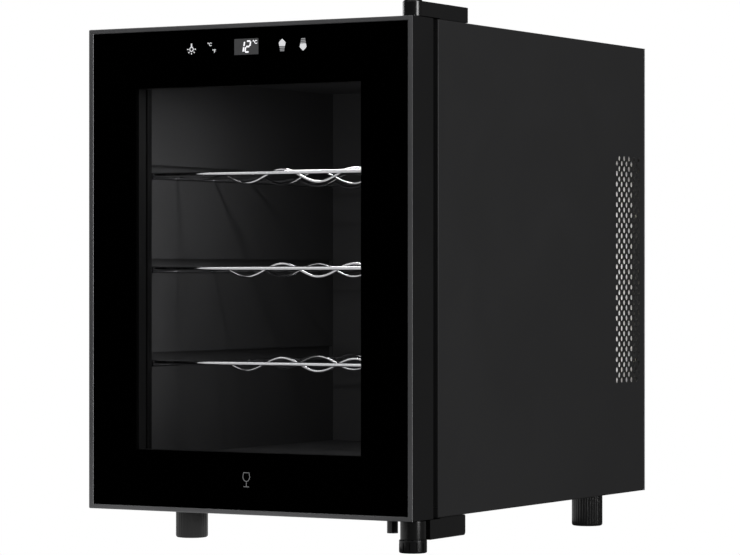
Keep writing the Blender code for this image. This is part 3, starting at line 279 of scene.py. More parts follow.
# ---------------------------------------------------------------- finishes
@dataclass(frozen=True)
class Finish:
    """How one kind of surface looks, as a procedural material on object coordinates.

    Args:
        name: name of the material.
        base: main colour, linear.
        tone: colour of the clouded areas.
        rough: roughness at the pattern's two ends.
        metallic: 0 for plastic and paint, 1 for bare metal.
        specular: strength of the reflection head on.
        pattern: fine pattern of the surface.
        scale: the pattern's repeats per metre.
        depth: height of the pattern's relief.
        cloud: repeats per metre of the handling clouds.
        alpha: share of light that the surface stops.
        glow: light that the surface gives off.
    """

    name: str
    base: Colour
    tone: Colour
    rough: Span
    metallic: float = 0.0
    specular: float = 0.5
    pattern: Pattern = Pattern.GRAIN
    scale: float = 1400.0
    depth: float = 0.00003
    cloud: float = 9.0
    alpha: float = 1.0
    glow: float = 0.0

    def material(self) -> bpy.types.Material:
        """Return the material, made on first use.

        Returns:
            The Blender material of this finish.
        """
        known = bpy.data.materials.get(self.name)
        if known is not None:
            return known
        mat = bpy.data.materials.new(self.name)
        mat.use_nodes = True
        graph = Graph(mat.node_tree)
        shader = mat.node_tree.nodes["Principled BSDF"]
        self._set_constants(shader)
        place = graph.add("ShaderNodeTexCoord")
        vector = place.outputs["Object"]
        fine = self._effect(graph, Effects.pattern(self.pattern), vector, self.scale)
        cloud = self._effect(graph, Effects.handling(), vector, self.cloud)
        self._vary(graph, shader, fine, cloud)
        relief = graph.add("ShaderNodeBump")
        relief.inputs["Strength"].default_value = RELIEF
        relief.inputs["Distance"].default_value = self.depth
        graph.link(fine, relief.inputs["Height"])
        graph.link(relief.outputs[0], shader.inputs["Normal"])
        return mat

    def _set_constants(self, shader: bpy.types.Node) -> None:
        """Set what is the same all over the surface.

        Args:
            shader: the Principled node.
        """
        shader.inputs["Metallic"].default_value = self.metallic
        shader.inputs["Specular IOR Level"].default_value = self.specular
        shader.inputs["Alpha"].default_value = self.alpha
        if self.glow > 0:
            shader.inputs["Emission Color"].default_value = (*self.base, 1.0)
            shader.inputs["Emission Strength"].default_value = self.glow

    @staticmethod
    def _effect(
        graph: Graph, group: bpy.types.NodeTree, vector: bpy.types.NodeSocket, scale: float
    ) -> bpy.types.NodeSocket:
        """Place a shared effect group in the material.

        Args:
            graph: graph of the material.
            group: the effect.
            vector: coordinates to read.
            scale: repeats per metre.

        Returns:
            The effect's mask.
        """
        node = graph.add("ShaderNodeGroup", node_tree=group)
        node.inputs["Scale"].default_value = scale
        graph.link(vector, node.inputs["Vector"])
        return node.outputs["Mask"]

    def _vary(
        self,
        graph: Graph,
        shader: bpy.types.Node,
        fine: bpy.types.NodeSocket,
        cloud: bpy.types.NodeSocket,
    ) -> None:
        """Let colour and roughness follow the fine pattern and the clouds.

        Args:
            graph: graph of the material.
            shader: the Principled node.
            fine: mask of the fine pattern.
            cloud: mask of the clouds.
        """
        both = graph.add("ShaderNodeMath", operation="MULTIPLY")
        graph.link(fine, both.inputs[0])
        graph.link(cloud, both.inputs[1])
        mix = graph.add("ShaderNodeMix", data_type="RGBA")
        mix.inputs[6].default_value = (*self.base, 1.0)
        mix.inputs[7].default_value = (*self.tone, 1.0)
        graph.link(both.outputs[0], mix.inputs[0])
        graph.link(mix.outputs[2], shader.inputs["Base Color"])
        mean = graph.add("ShaderNodeMath", operation="ADD")
        graph.link(fine, mean.inputs[0])
        graph.link(cloud, mean.inputs[1])
        spread = graph.add("ShaderNodeMapRange")
        spread.inputs["From Max"].default_value = 2.0
        spread.inputs["To Min"].default_value = self.rough[0]
        spread.inputs["To Max"].default_value = self.rough[1]
        graph.link(mean.outputs[0], spread.inputs["Value"])
        graph.link(spread.outputs[0], shader.inputs["Roughness"])


def grey(level: float, blue: float = 0.03) -> Colour:
    """Return a near-neutral colour of one linear level, a touch blue."""
    return (level, level, level * (1 + blue))


CABINET_PAINT = Finish(
    "cabinet_satin_paint", grey(0.0205), grey(0.024), (0.42, 0.5), specular=0.3, depth=0.00004
)
BRACKET_PAINT = Finish(
    "bracket_satin_paint", grey(0.010), grey(0.014), (0.38, 0.5), specular=0.3, depth=0.00005
)
DOOR_PLASTIC = Finish("door_satin_black", grey(0.009), grey(0.0115), (0.4, 0.5), specular=0.16)
BEZEL_METAL = Finish(
    "bezel_dark_metal",
    grey(0.21),
    grey(0.27),
    (0.36, 0.46),
    metallic=0.6,
    pattern=Pattern.BRUSHED,
    scale=2600.0,
    depth=0.000015,
)
GLOSS_BLACK = Finish(
    "gloss_black_moulding", grey(0.005), grey(0.007), (0.15, 0.24), specular=0.58, depth=0.00001
)
MATTE_BLACK = Finish("matte_black_moulding", grey(0.006), grey(0.009), (0.5, 0.65), specular=0.2)
FAN_BLACK = Finish("fan_black_plastic", grey(0.014), grey(0.02), (0.35, 0.5))
LINER = Finish(
    "liner_textured_plastic",
    grey(0.075),
    grey(0.09),
    (0.45, 0.6),
    specular=0.3,
    scale=900.0,
    depth=0.00008,
)
# Black rubber, darkened past its own black to paint the shade that falls in the gap between door and
# cabinet.
RUBBER_WITH_GAP_SHADE = Finish("gasket_rubber_with_gap_shade", grey(0.003), grey(0.005), (0.6, 0.75), specular=0.08)
CHROME = Finish("rack_chrome", grey(0.62), grey(0.54), (0.06, 0.16), metallic=1.0, depth=0.000004)
ZINC = Finish(
    "zinc_sheet",
    grey(0.64),
    grey(0.5),
    (0.32, 0.46),
    metallic=0.5,
    pattern=Pattern.SPANGLE,
    scale=110.0,
    depth=0.00001,
)
SCREW_ZINC = Finish(
    "screw_zinc", grey(0.7, -0.02), grey(0.55, -0.02), (0.22, 0.36), metallic=1.0, scale=2200.0
)
ALLOY = Finish(
    "sink_aluminium",
    grey(0.74),
    grey(0.64),
    (0.3, 0.45),
    metallic=0.9,
    pattern=Pattern.BRUSHED,
    scale=1800.0,
)
FOAM = Finish("wall_foam", (0.78, 0.7, 0.5), (0.68, 0.6, 0.42), (0.8, 0.95), scale=500.0, depth=0.0004)
CERAMIC = Finish("module_ceramic", grey(0.88, -0.02), grey(0.8, -0.02), (0.4, 0.55))
BOARD = Finish(
    "board_mask", (0.015, 0.1, 0.045), (0.02, 0.13, 0.06), (0.3, 0.45), pattern=Pattern.BRUSHED
)
LENS = Finish("lens_frosted", grey(0.85), grey(0.78), (0.35, 0.5), depth=0.00006, glow=2.0)
BUSH = Finish("bush_nylon", grey(0.03), grey(0.045), (0.4, 0.55))
PRINT_BLACK = Finish(
    "glass_black_print", grey(0.0001), grey(0.0003), (0.03, 0.06), specular=0.005, depth=0.0000005
)
# White print with a painted glow: the ink gives off light of its own, though nothing lights it from
# behind.
WHITE_PRINT_PAINTED_GLOW = Finish("glass_white_print_painted_glow", grey(0.8), grey(0.74), (0.5, 0.6), specular=0.1, glow=0.6)
# Softer print of the arrows' tails with a painted glow: the ink gives off light of its own.
SOFT_PRINT_PAINTED_GLOW = Finish("glass_soft_print_painted_glow", grey(0.45), grey(0.4), (0.5, 0.6), specular=0.1, glow=0.45)
# Grey print of the wine-glass mark with a painted glow: the ink gives off light of its own.
GREY_PRINT_PAINTED_GLOW = Finish("glass_grey_print_painted_glow", grey(0.3), grey(0.26), (0.5, 0.6), specular=0.1, glow=0.3)
DIGITS = Finish("display_digits", grey(0.95), grey(0.85), (0.4, 0.5), glow=0.9)
DISPLAY = Finish("display_face", grey(0.07), grey(0.078), (0.3, 0.4), specular=0.05, glow=0.45)
CLEAR_GLASS = Finish(
    "door_glass_clear",
    grey(0.002),
    grey(0.004),
    (0.015, 0.03),
    specular=0.1,
    alpha=0.04,
    depth=0.0000005,
)
SMOKED_GLASS = Finish(
    "door_glass_smoked",
    grey(0.006),
    grey(0.009),
    (0.02, 0.04),
    specular=0.1,
    alpha=0.12,
    depth=0.0000005,
)


# ---------------------------------------------------------------- modelling bench
def activate(obj: Thing) -> None:
    """Select one object alone and make it the active one.

    Args:
        obj: the object.
    """
    deselect()
    obj.select_set(True)
    bpy.context.view_layer.objects.active = obj


def deselect() -> None:
    """Leave nothing selected."""
    for other in bpy.context.selected_objects:
        other.select_set(False)


def settle(obj: Thing) -> Thing:
    """Put an object's place, turn and scale into its mesh.

    Args:
        obj: the object to settle.

    Returns:
        The same object, at the origin.
    """
    activate(obj)
    bpy.ops.object.transform_apply(location=True, rotation=True, scale=True)
    return obj


def block(name: str, low: Sequence[float], high: Sequence[float]) -> Thing:
    """Add a block between two corners.

    Args:
        name: name of the piece.
        low: lowest corner.
        high: highest corner.

    Returns:
        The block, with its place in its mesh.
    """
    deselect()
    low, high = Vector(low), Vector(high)
    bpy.ops.mesh.primitive_cube_add(size=1.0, location=(low + high) / 2)
    obj = bpy.context.object
    obj.name = name
    obj.scale = high - low
    return settle(obj)


def bar(
    name: str,
    centre: Sequence[float],
    radius: float,
    length: float,
    axis: Axis,
    sides: int = 48,
) -> Thing:
    """Add a round bar.

    Args:
        name: name of the piece.
        centre: middle of the bar.
        radius: its radius.
        length: its length along the axis.
        axis: direction that it runs in.
        sides: number of faces round it.

    Returns:
        The bar, with its place in its mesh.
    """
    deselect()
    bpy.ops.mesh.primitive_cylinder_add(
        vertices=sides, radius=radius, depth=length, location=centre, rotation=axis.value
    )
    obj = bpy.context.object
    obj.name = name
    return settle(obj)


def combine(target: Thing, tools: Iterable[Thing], how: Blend) -> Thing:
    """Join tool pieces on to a piece, or cut them away, and remove the tools.

    Args:
        target: the piece that is kept.
        tools: the pieces that shape it.
        how: whether they are added or cut.

    Returns:
        The shaped piece.
    """
    for tool in tools:
        change = target.modifiers.new("Shape", "BOOLEAN")
        change.operation = how.value
        change.solver = "EXACT"
        change.object = tool
        activate(target)
        bpy.ops.object.modifier_apply(modifier=change.name)
        bpy.data.objects.remove(tool, do_unlink=True)
    return target


def bevel(obj: Thing, pick: Rule, width: float, segments: int = 2) -> Thing:
    """Bevel the edges that a rule picks by their two ends.

    Args:
        obj: the piece.
        pick: rule on the two ends of an edge.
        width: width of the bevel.
        segments: faces across it.

    Returns:
        The same piece.
    """
    activate(obj)
    bpy.ops.object.mode_set(mode="EDIT")
    bpy.context.tool_settings.mesh_select_mode = (False, True, False)
    bpy.ops.mesh.select_all(action="DESELECT")
    mesh = bmesh.from_edit_mesh(obj.data)
    for edge in mesh.edges:
        sharp = len(edge.link_faces) == 2 and edge.calc_face_angle(0.0) > SHARP
        edge.select_set(sharp and pick(edge.verts[0].co, edge.verts[1].co))
    bmesh.update_edit_mesh(obj.data)
    bpy.ops.mesh.bevel(offset=width, segments=segments, affect="EDGES")
    bpy.ops.object.mode_set(mode="OBJECT")
    return obj


def any_edge(_a: Vector, _b: Vector) -> bool:
    """Pick every edge."""
    return True


def at(index: int, value: float) -> Rule:
    """Make a rule that picks edges at one coordinate; index is 0, 1 or 2 for X, Y or Z."""
    return lambda a, b: abs(a[index] - value) < NEAR and abs(b[index] - value) < NEAR


def at_ends(reach: float) -> Rule:
    """Make a rule that picks the rims at both ends of a bar across the cooler."""
    return lambda a, b: abs(abs(a.x) - reach) < NEAR and abs(abs(b.x) - reach) < NEAR


def along(index: int, length: float) -> Rule:
    """Make a rule that picks edges that run further than a length along one axis."""
    return lambda a, b: abs(a[index] - b[index]) > length


def both(first: Rule, second: Rule) -> Rule:
    """Make a rule that picks the edges that two rules both pick."""
    return lambda a, b: first(a, b) and second(a, b)


def smooth(obj: Thing, degrees: float = 30.0) -> Thing:
    """Shade a piece smooth across shallow edges, with flat faces kept flat.

    Args:
        obj: the piece.
        degrees: angle past which an edge stays sharp.

    Returns:
        The same piece.
    """
    activate(obj)
    bpy.ops.object.shade_smooth_by_angle(angle=math.radians(degrees))
    change = obj.modifiers.new("Even", "WEIGHTED_NORMAL")
    change.keep_sharp = True
    bpy.ops.object.modifier_apply(modifier=change.name)
    return obj


def copy_of(obj: Thing, name: str, shift: Sequence[float] = (0, 0, 0)) -> Thing:
    """Copy a piece with its own mesh.

    Args:
        obj: the piece to copy.
        name: name of the copy.
        shift: how far the copy is moved.

    Returns:
        The copy.
    """
    twin = obj.copy()
    twin.data = obj.data.copy()
    twin.name = name
    twin.data.transform(Matrix.Translation(shift))
    bpy.context.scene.collection.objects.link(twin)
    return twin


def joined(name: str, things: list[Thing]) -> Thing:
    """Join pieces that don't touch, such as the marks of one print, into one.

    Args:
        name: name of the joined piece.
        things: the pieces.

    Returns:
        The joined piece.
    """
    activate(things[0])
    for thing in things[1:]:
        thing.select_set(True)
    if len(things) > 1:
        bpy.ops.object.join()
    things[0].name = name
    return things[0]


def array(obj: Thing, count: int, shift: Sequence[float]) -> Thing:
    """Repeat a piece at a fixed step.

    Args:
        obj: the piece.
        count: how many there are in the end.
        shift: the step.

    Returns:
        The piece with its repeats.
    """
    change = obj.modifiers.new("Row", "ARRAY")
    change.count = count
    change.use_relative_offset = False
    change.use_constant_offset = True
    change.constant_offset_displace = shift
    activate(obj)
    bpy.ops.object.modifier_apply(modifier=change.name)
    return obj


def wire(name: str, points: Sequence[Vector], radius: float, sides: int = 4) -> Thing:
    """Make a round wire along points.

    Args:
        name: name of the piece.
        points: the wire's centre line.
        radius: its radius.
        sides: Blender's bevel resolution.

    Returns:
        The wire as a mesh.
    """
    curve = bpy.data.curves.new(name, "CURVE")
    curve.dimensions = "3D"
    curve.bevel_depth = radius
    curve.bevel_resolution = sides
    curve.use_fill_caps = True
    line = curve.splines.new("POLY")
    line.points.add(len(points) - 1)
    for slot, point in zip(line.points, points):
        slot.co = (*point, 1.0)
    obj = bpy.data.objects.new(name, curve)
    bpy.context.scene.collection.objects.link(obj)
    activate(obj)
    bpy.ops.object.convert(target="MESH")
    return bpy.context.object


@dataclass
class Fitted:
    """What a piece needs to belong to the cooler.

    Args:
        body: rigid body that it rides on.
        slot: the record's material slot, not used.
        finish: its main finish.
        stands_for: CAD nodes that it replaces.
    """

    body: Body
    slot: str
    finish: Finish
    stands_for: tuple[str, ...] = ()

    def fit(self, obj: Thing) -> Thing:
        """Dress a piece, set it on its body and report it.

        Args:
            obj: the finished piece.

        Returns:
            The same piece.
        """
        if not obj.data.materials:
            obj.data.materials.append(self.finish.material())
        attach(obj, self.body.value)
        if self.stands_for:
            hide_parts(*self.stands_for)
        LOG.info("%s rides on %s", obj.name, self.body.value)
        return obj


def dress_node(name: str, finish: Finish) -> None:
    """Give a CAD node that stays in view its finish.

    Args:
        name: the node.
        finish: its finish.
    """
    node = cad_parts[name]
    node.data.materials.clear()
    node.data.materials.append(finish.material())
    LOG.info("%s keeps its CAD shape", name)


# ---------------------------------------------------------------- cabinet
@dataclass
class SteelShell:
    """Side panels with their punched vents, and the plain panels.

    Args:
        sheet: thickness of the steel.
        lip: front return of the side panels.
        flange: rear return of the side panels.
        columns: columns of holes.
        rows: holes in a column.
        column_step: distance between columns.
        row_step: distance between holes in a column.
        hole: radius of a hole.
        vent_back: last column to the panel's back edge.
        fold: radius of the folded edges.
        corner: radius of the lower rear corner.
        lip_gap: clearance round the notch at each end of the lip.
        flange_gap: clearance round the notch at each end of the flange.
        past: how far a cutting tool passes the steel.
    """

    sheet: float = 0.0008
    lip: float = 0.009
    flange: float = 0.0125
    columns: int = 10
    rows: int = 22
    column_step: float = 0.0055
    row_step: float = 0.0102
    hole: float = 0.00272
    vent_back: float = 0.0134
    fold: float = 0.0012
    corner: float = 0.0035
    lip_gap: float = 0.0003
    flange_gap: float = 0.0006
    past: float = 0.002

    def build(self) -> None:
        """Build both sides and dress the panels that keep their CAD shape."""
        for name, side in (("side_panel_left", -1), ("side_panel_right", 1)):
            self._side(name, side)
        dress_node("top_panel", CABINET_PAINT)
        dress_node("bottom_panel", CABINET_PAINT)
        dress_node("rear_panel", ZINC)

    def _side(self, node: str, side: int) -> None:
        """Build one side: a plate with rounded folds and round staggered holes.

        Args:
            node: CAD node that the piece stands for.
            side: 1 on the right, -1 on the left.
        """
        low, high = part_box(node)
        outer = high.x if side > 0 else low.x
        inner = outer - side * self.flange
        x0, x1 = sorted((outer, inner))
        solid = block(f"{node}_punched", (x0, low.y, low.z), (x1, high.y, high.z))
        bevel(solid, both(at(1, high.y), at(2, low.z)), self.corner, 4)
        bevel(solid, at(0, outer), self.fold, 3)
        cuts = self._hollow(outer, inner, low, high, side)
        combine(solid, cuts, Blend.CUT)
        combine(solid, [self._holes(outer, low, high, side)], Blend.CUT)
        smooth(solid, 35)
        Fitted(Body.CABINET, "cabinet_paint", CABINET_PAINT, (node,)).fit(solid)

    def _hollow(
        self, outer: float, inner: float, low: Vector, high: Vector, side: int
    ) -> list[Thing]:
        """Make the tools that leave a plate with a front lip and a rear flange.

        Args:
            outer: the outer face.
            inner: the inner limit.
            low: lowest corner of the CAD node.
            high: highest corner of the CAD node.
            side: 1 on the right, -1 on the left.

        Returns:
            Two blocks to cut away.
        """
        past = self.past
        bottom, top = low.z - past, high.z + past
        beyond = inner - side * past
        x0, x1 = sorted((outer - side * self.sheet, beyond))
        lip0, lip1 = sorted((outer - side * self.lip, beyond))
        tools = [
            block("inside", (x0, low.y + self.sheet, bottom), (x1, high.y - self.sheet, top)),
            block("lip_end", (lip0, low.y - past, bottom), (lip1, low.y + 2 * past, top)),
        ]
        notches = ((low.y, self.lip + self.lip_gap), (high.y, self.sheet + self.flange_gap))
        for y, clear in notches:
            for z0, z1 in ((bottom, low.z + clear), (high.z - clear, top)):
                tools.append(block("notch", (x0, y - past, z0), (x1, y + past, z1)))
        return tools

    def _holes(self, outer: float, low: Vector, high: Vector, side: int) -> Thing:
        """Make the staggered field of round punches.

        Args:
            outer: the outer face.
            low: lowest corner of the CAD node.
            high: highest corner of the CAD node.
            side: 1 on the right, -1 on the left.

        Returns:
            The punches as one tool.
        """
        first_y = high.y - self.vent_back - (self.columns - 1) * self.column_step
        middle = (low.z + high.z) / 2
        first_z = middle - (self.rows - 0.5) * self.row_step / 2
        place = (outer - side * self.sheet / 2, first_y, first_z)
        punch = bar("punches", place, self.hole, 4 * self.sheet, Axis.X, 12)
        array(punch, self.rows, (0, 0, self.row_step))
        second = copy_of(punch, "punches_between", (0, self.column_step, self.row_step / 2))
        field_of = joined("punches", [punch, second])
        return array(field_of, self.columns // 2, (0, 2 * self.column_step, 0))


@dataclass
class Inside:
    """Liner, mouth frame, lamp and insulation, which keep their CAD shapes."""

    nodes: dict[str, Finish] = field(
        default_factory=lambda: {
            "inner_liner": LINER,
            "mouth_frame": LINER,
            "insulation_foam": FOAM,
            "light_lens": LENS,
            "light_strip": BOARD,
            "cold_air_cover": LINER,
        }
    )

    def build(self) -> None:
        """Dress each node."""
        for name, finish in self.nodes.items():
            dress_node(name, finish)


@dataclass
class WireRacks:
    """Chrome racks: a straight front bar, side rods and wavy wires that cradle bottles.

    Args:
        bar_radius: radius of the front bar.
        wire_radius: radius of the other wires.
        first_wave: front bar to the first wavy wire.
        spacing: distance between wavy wires.
        waves: number of wavy wires.
        pitch: distance between two valleys.
        shift: where a valley lies across the cooler.
        height: half the wave's height.
        middle: the wave's middle above the bar's centre line.
        end: height of a wire's flat end.
        run: length of the wave's run-out.
        drop: side rods below the bar's centre line.
        rim: rounding of the front bar's ends.
        half_span: pitches from a valley at the shift to where the wave runs out.
        kick: the run-out's rise as a share of the height.
        steps: straight steps along a wavy wire.
    """

    bar_radius: float = 0.0019
    wire_radius: float = 0.0015
    first_wave: float = 0.041
    spacing: float = 0.0647
    waves: int = 5
    pitch: float = 0.0785
    shift: float = 0.0205
    height: float = 0.006
    middle: float = -0.0016
    end: float = -0.0025
    run: float = 0.022
    drop: float = 0.0029
    rim: float = 0.0006
    half_span: float = 1.25
    kick: float = 0.4
    steps: int = 110

    def build(self) -> None:
        """Build the bottom rack and copy it to the other levels."""
        low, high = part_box("wire_rack_bottom")
        level = high.z - (self.middle + self.height + self.wire_radius)
        first = self._rack(low, high, level)
        for name in ("middle", "top"):
            node = f"wire_rack_{name}"
            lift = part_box(node)[1].z - high.z
            twin = copy_of(first, f"chrome_rack_{name}", (0, 0, lift))
            Fitted(Body.CABINET, "chrome_wire", CHROME, (node,)).fit(twin)
        Fitted(Body.CABINET, "chrome_wire", CHROME, ("wire_rack_bottom",)).fit(first)

    def _wave(self, x: float) -> float:
        """Return a wavy wire's height above the bar's centre line.

        Args:
            x: place across the cooler.

        Returns:
            The height.
        """
        low = self.shift - self.half_span * self.pitch
        high = self.shift + self.half_span * self.pitch
        if low <= x <= high:
            return self.middle - self.height * math.cos(2 * math.pi * (x - self.shift) / self.pitch)
        beyond = min(max(low - x, x - high) / self.run, 1.0)
        rise = self.middle - self.end + self.kick * self.height * math.sin(math.pi * beyond)
        return self.end + rise * (1 - beyond)

    def _rack(self, low: Vector, high: Vector, level: float) -> Thing:
        """Build one rack.

        Args:
            low: lowest corner of the CAD rack.
            high: highest corner of the CAD rack.
            level: height of the front bar's centre line.

        Returns:
            The rack.
        """
        bar_y = low.y + self.bar_radius
        reach = high.x
        front = bar("chrome_rack_bottom", (0, bar_y, level), self.bar_radius, 2 * reach, Axis.X, 24)
        bevel(front, at_ends(reach), self.rim, 3)
        rod_x = reach - self.bar_radius
        pieces = []
        rods_end = bar_y + self.first_wave + (self.waves - 1) * self.spacing
        for side in (-1, 1):
            ends = (bar_y, rods_end)
            line = [Vector((side * rod_x, y, level - self.drop)) for y in ends]
            pieces.append(wire("rod", line, self.wire_radius))
        xs = [-rod_x + 2 * rod_x * k / self.steps for k in range(self.steps + 1)]
        for i in range(self.waves):
            y = bar_y + self.first_wave + i * self.spacing
            line = [Vector((x, y, level + self._wave(x))) for x in xs]
            pieces.append(wire("wave", line, self.wire_radius))
        rack = joined("chrome_rack_bottom", [front, *pieces])
        return smooth(rack, 40)


@dataclass
class CoolingUnit:
    """Fans, sinks, grille, power box and gland behind the insulation.

    Args:
        slots: louvre slots of the rear grille.
        wall: wall of the grille.
        slot_height: height of a slot.
        border: solid border beside the slots.
        corner: radius of the grille's corners.
        back_edge: rounding of the grille's back edges.
        ends: height above and below the slots, in all.
    """

    slots: int = 12
    wall: float = 0.002
    slot_height: float = 0.0062
    border: float = 0.015
    corner: float = 0.006
    back_edge: float = 0.002
    ends: float = 0.02

    def build(self) -> None:
        """Build the grille and dress the nodes that keep their CAD shape."""
        self._grille()
        for name in ("cold_heat_sink", "hot_heat_sink"):
            dress_node(name, ALLOY)
        dress_node("thermoelectric_module", CERAMIC)
        for name in (
            "cold_fan_frame",
            "hot_fan_frame",
            "cold_fan_rotor",
            "hot_fan_rotor",
            "power_supply_box",
        ):
            dress_node(name, FAN_BLACK)
        # The cord gland shares the rubber that is darkened with painted shade for the door gap.
        dress_node("cord_gland", RUBBER_WITH_GAP_SHADE)
        dress_node("drain_spout", GLOSS_BLACK)

    def _grille(self) -> None:
        """Build the louvred rear cover with rounded corners and slot ends."""
        low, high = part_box("rear_grille_cover")
        cover = block("rear_louvre_cover", low, high)
        bevel(cover, along(1, 0.01), self.corner, 5)
        bevel(cover, at(1, high.y), self.back_edge, 3)
        inside_low = low + Vector((self.wall, -0.001, self.wall))
        inside_high = high - Vector((self.wall, self.wall, self.wall))
        combine(cover, [block("inside", inside_low, inside_high)], Blend.CUT)
        middle = (low + high) / 2
        step = (high.z - low.z - self.ends) / self.slots
        half = (high.x - low.x) / 2 - self.border
        radius = self.slot_height / 2
        first_z = middle.z - (self.slots - 1) / 2 * step
        ends = [
            bar("slot", (x, high.y - self.wall / 2, first_z), radius, 3 * self.wall, Axis.Y, 16)
            for x in (-half + radius, half - radius)
        ]
        core = block(
            "slot_core",
            (-half + radius, high.y - 2 * self.wall, first_z - radius),
            (half - radius, high.y + self.wall, first_z + radius),
        )
        slot = combine(core, ends, Blend.ADD)
        combine(cover, [array(slot, self.slots, (0, 0, step))], Blend.CUT)
        smooth(cover, 35)
        Fitted(Body.CABINET, "fan_plastic", FAN_BLACK, ("rear_grille_cover",)).fit(cover)


# ---------------------------------------------------------------- hinges and feet
@dataclass
class Hinges:
    """Top cover and cap, bottom bracket, and the plain metal pieces between them.

    Args:
        wall: wall of the top cover.
        gap: door top to the cover.
        edge: rounding of the moulded edges.
        barrel: radius of the bottom barrel.
        screw_bore: radius of the screw pockets.
        shank_bore: radius of the holes for the screws' shanks.
        stud_bore: radius of the hole for the levelling foot's stud.
        pin_bore: radius of the hole for the bottom pin.
        pin_reach: length of the tool that cuts that hole.
        seat: head of a bottom screw to its seat.
        rear_corner: radius of the bottom bracket's lower rear corner.
        fine_edge: rounding of the bottom bracket's other edges.
        barrel_edge: rounding of the barrel's rims.
        cap_edge: rounding of the cap's rim.
        clear: clearance between a hinge piece and what lies next to it.
        web_start: hinge axis to the bottom bracket's housing.
        pad_edge: how far the bracket's pad stays inside the housing's outline.
        skirt_side: how far the cover's skirt stays inside its sides.
        past: how far a cutting tool passes the plastic.
    """

    wall: float = 0.0015
    gap: float = 0.0007
    edge: float = 0.0008
    barrel: float = 0.0114
    screw_bore: float = 0.0039
    shank_bore: float = 0.0023
    stud_bore: float = 0.0043
    pin_bore: float = 0.0033
    pin_reach: float = 0.025
    seat: float = 0.0025
    rear_corner: float = 0.003
    fine_edge: float = 0.0005
    barrel_edge: float = 0.0004
    cap_edge: float = 0.0009
    clear: float = 0.0003
    web_start: float = 0.015
    pad_edge: float = 0.0004
    skirt_side: float = 0.0002
    past: float = 0.01

    def build(self) -> None:
        """Build the pieces of both hinges."""
        pin_low, pin_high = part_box("top_hinge_pin")
        self.axis = (pin_low + pin_high) / 2
        self._cover()
        self._cap()
        self._bottom_bracket()
        dress_node("top_hinge_bracket", BRACKET_PAINT)
        for name in ("top_hinge_pin", "bottom_hinge_pin"):
            dress_node(name, SCREW_ZINC)

    def _capsule(self, name: str, radius: float, back: float, z: Span) -> Thing:
        """Make a body with a half-round front about the hinge axis.

        Args:
            name: name of the piece.
            radius: half its width.
            back: its back end.
            z: its lowest and highest level.

        Returns:
            The body.
        """
        nose = bar(name, (self.axis.x, self.axis.y, sum(z) / 2), radius, z[1] - z[0], Axis.Z, 64)
        body = block(
            "straight", (self.axis.x - radius, self.axis.y, z[0]), (self.axis.x + radius, back, z[1])
        )
        return combine(nose, [body], Blend.ADD)

    def _cover(self) -> None:
        """Build the top hinge cover as a rounded shell."""
        low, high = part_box("top_hinge_cover")
        door_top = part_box("door_frame")[1].z
        radius = (high.x - low.x) / 2
        cover = self._capsule("hinge_cover_shell", radius, high.y, (door_top + self.gap, high.z))
        bevel(cover, at(2, high.z), self.edge, 3)
        bevel(cover, both(along(2, 0.005), at(1, high.y)), self.edge, 3)
        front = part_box("side_panel_right")[0].y + 0.004
        skirt = block(
            "skirt",
            (low.x + self.skirt_side, front, low.z),
            (high.x - self.skirt_side, high.y - self.clear, door_top + 0.005),
        )
        combine(cover, [skirt], Blend.ADD)
        levels = (low.z - self.past, high.z - self.wall)
        hollow = self._capsule("hollow", radius - self.wall, high.y - self.wall, levels)
        combine(cover, [hollow], Blend.CUT)
        smooth(cover, 35)
        Fitted(Body.CABINET, "gloss_black_plastic", GLOSS_BLACK, ("top_hinge_cover",)).fit(cover)

    def _cap(self) -> None:
        """Build the round cap over the hinge pin."""
        low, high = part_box("hinge_cap")
        centre = (low + high) / 2
        cap = bar("hinge_cap_button", centre, (high.x - low.x) / 2, high.z - low.z, Axis.Z, 64)
        bevel(cap, at(2, high.z), self.cap_edge, 4)
        smooth(cap, 40)
        Fitted(Body.CABINET, "gloss_black_plastic", GLOSS_BLACK, ("hinge_cap",)).fit(cap)

    def _bottom_bracket(self) -> None:
        """Build the bottom bracket: barrel, web and housing, with its bores."""
        low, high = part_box("bottom_hinge_bracket")
        door_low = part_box("door_frame")[0].z
        top = door_low - self.clear
        barrel_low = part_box("levelling_foot")[1].z - Feet.stud + self.clear
        cover_low, cover_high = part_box("top_hinge_cover")
        half = (cover_high.x - cover_low.x) / 2
        start = self.axis.y + self.web_start
        housing = block(
            "lower_hinge_bracket",
            (self.axis.x - half, start, low.z),
            (self.axis.x + half, high.y, top),
        )
        bevel(housing, both(at(1, high.y), at(2, low.z)), self.rear_corner, 5)
        bevel(
            housing,
            lambda a, b: max(a.z, b.z) < top - 0.001 or abs(a.z - b.z) > 0.005,
            self.fine_edge,
            2,
        )
        pad_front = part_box("side_panel_right")[0].y + 0.005
        pad = block(
            "pad",
            (self.axis.x - half + self.pad_edge, pad_front, top - 0.002),
            (self.axis.x + half - self.pad_edge, high.y - self.pad_edge, high.z),
        )
        barrel = bar(
            "barrel",
            (self.axis.x, self.axis.y, (barrel_low + top) / 2),
            self.barrel,
            top - barrel_low,
            Axis.Z,
            64,
        )
        bevel(barrel, any_edge, self.barrel_edge, 2)
        web = block(
            "web",
            (self.axis.x - half / 2, self.axis.y, barrel_low + 0.002),
            (self.axis.x + half / 2, start + 0.003, top - 0.001),
        )
        combine(housing, [pad, web, barrel], Blend.ADD)
        combine(housing, self._bores(barrel_low, top, low, high), Blend.CUT)
        smooth(housing, 35)
        Fitted(Body.CABINET, "bracket_paint", GLOSS_BLACK, ("bottom_hinge_bracket",)).fit(housing)

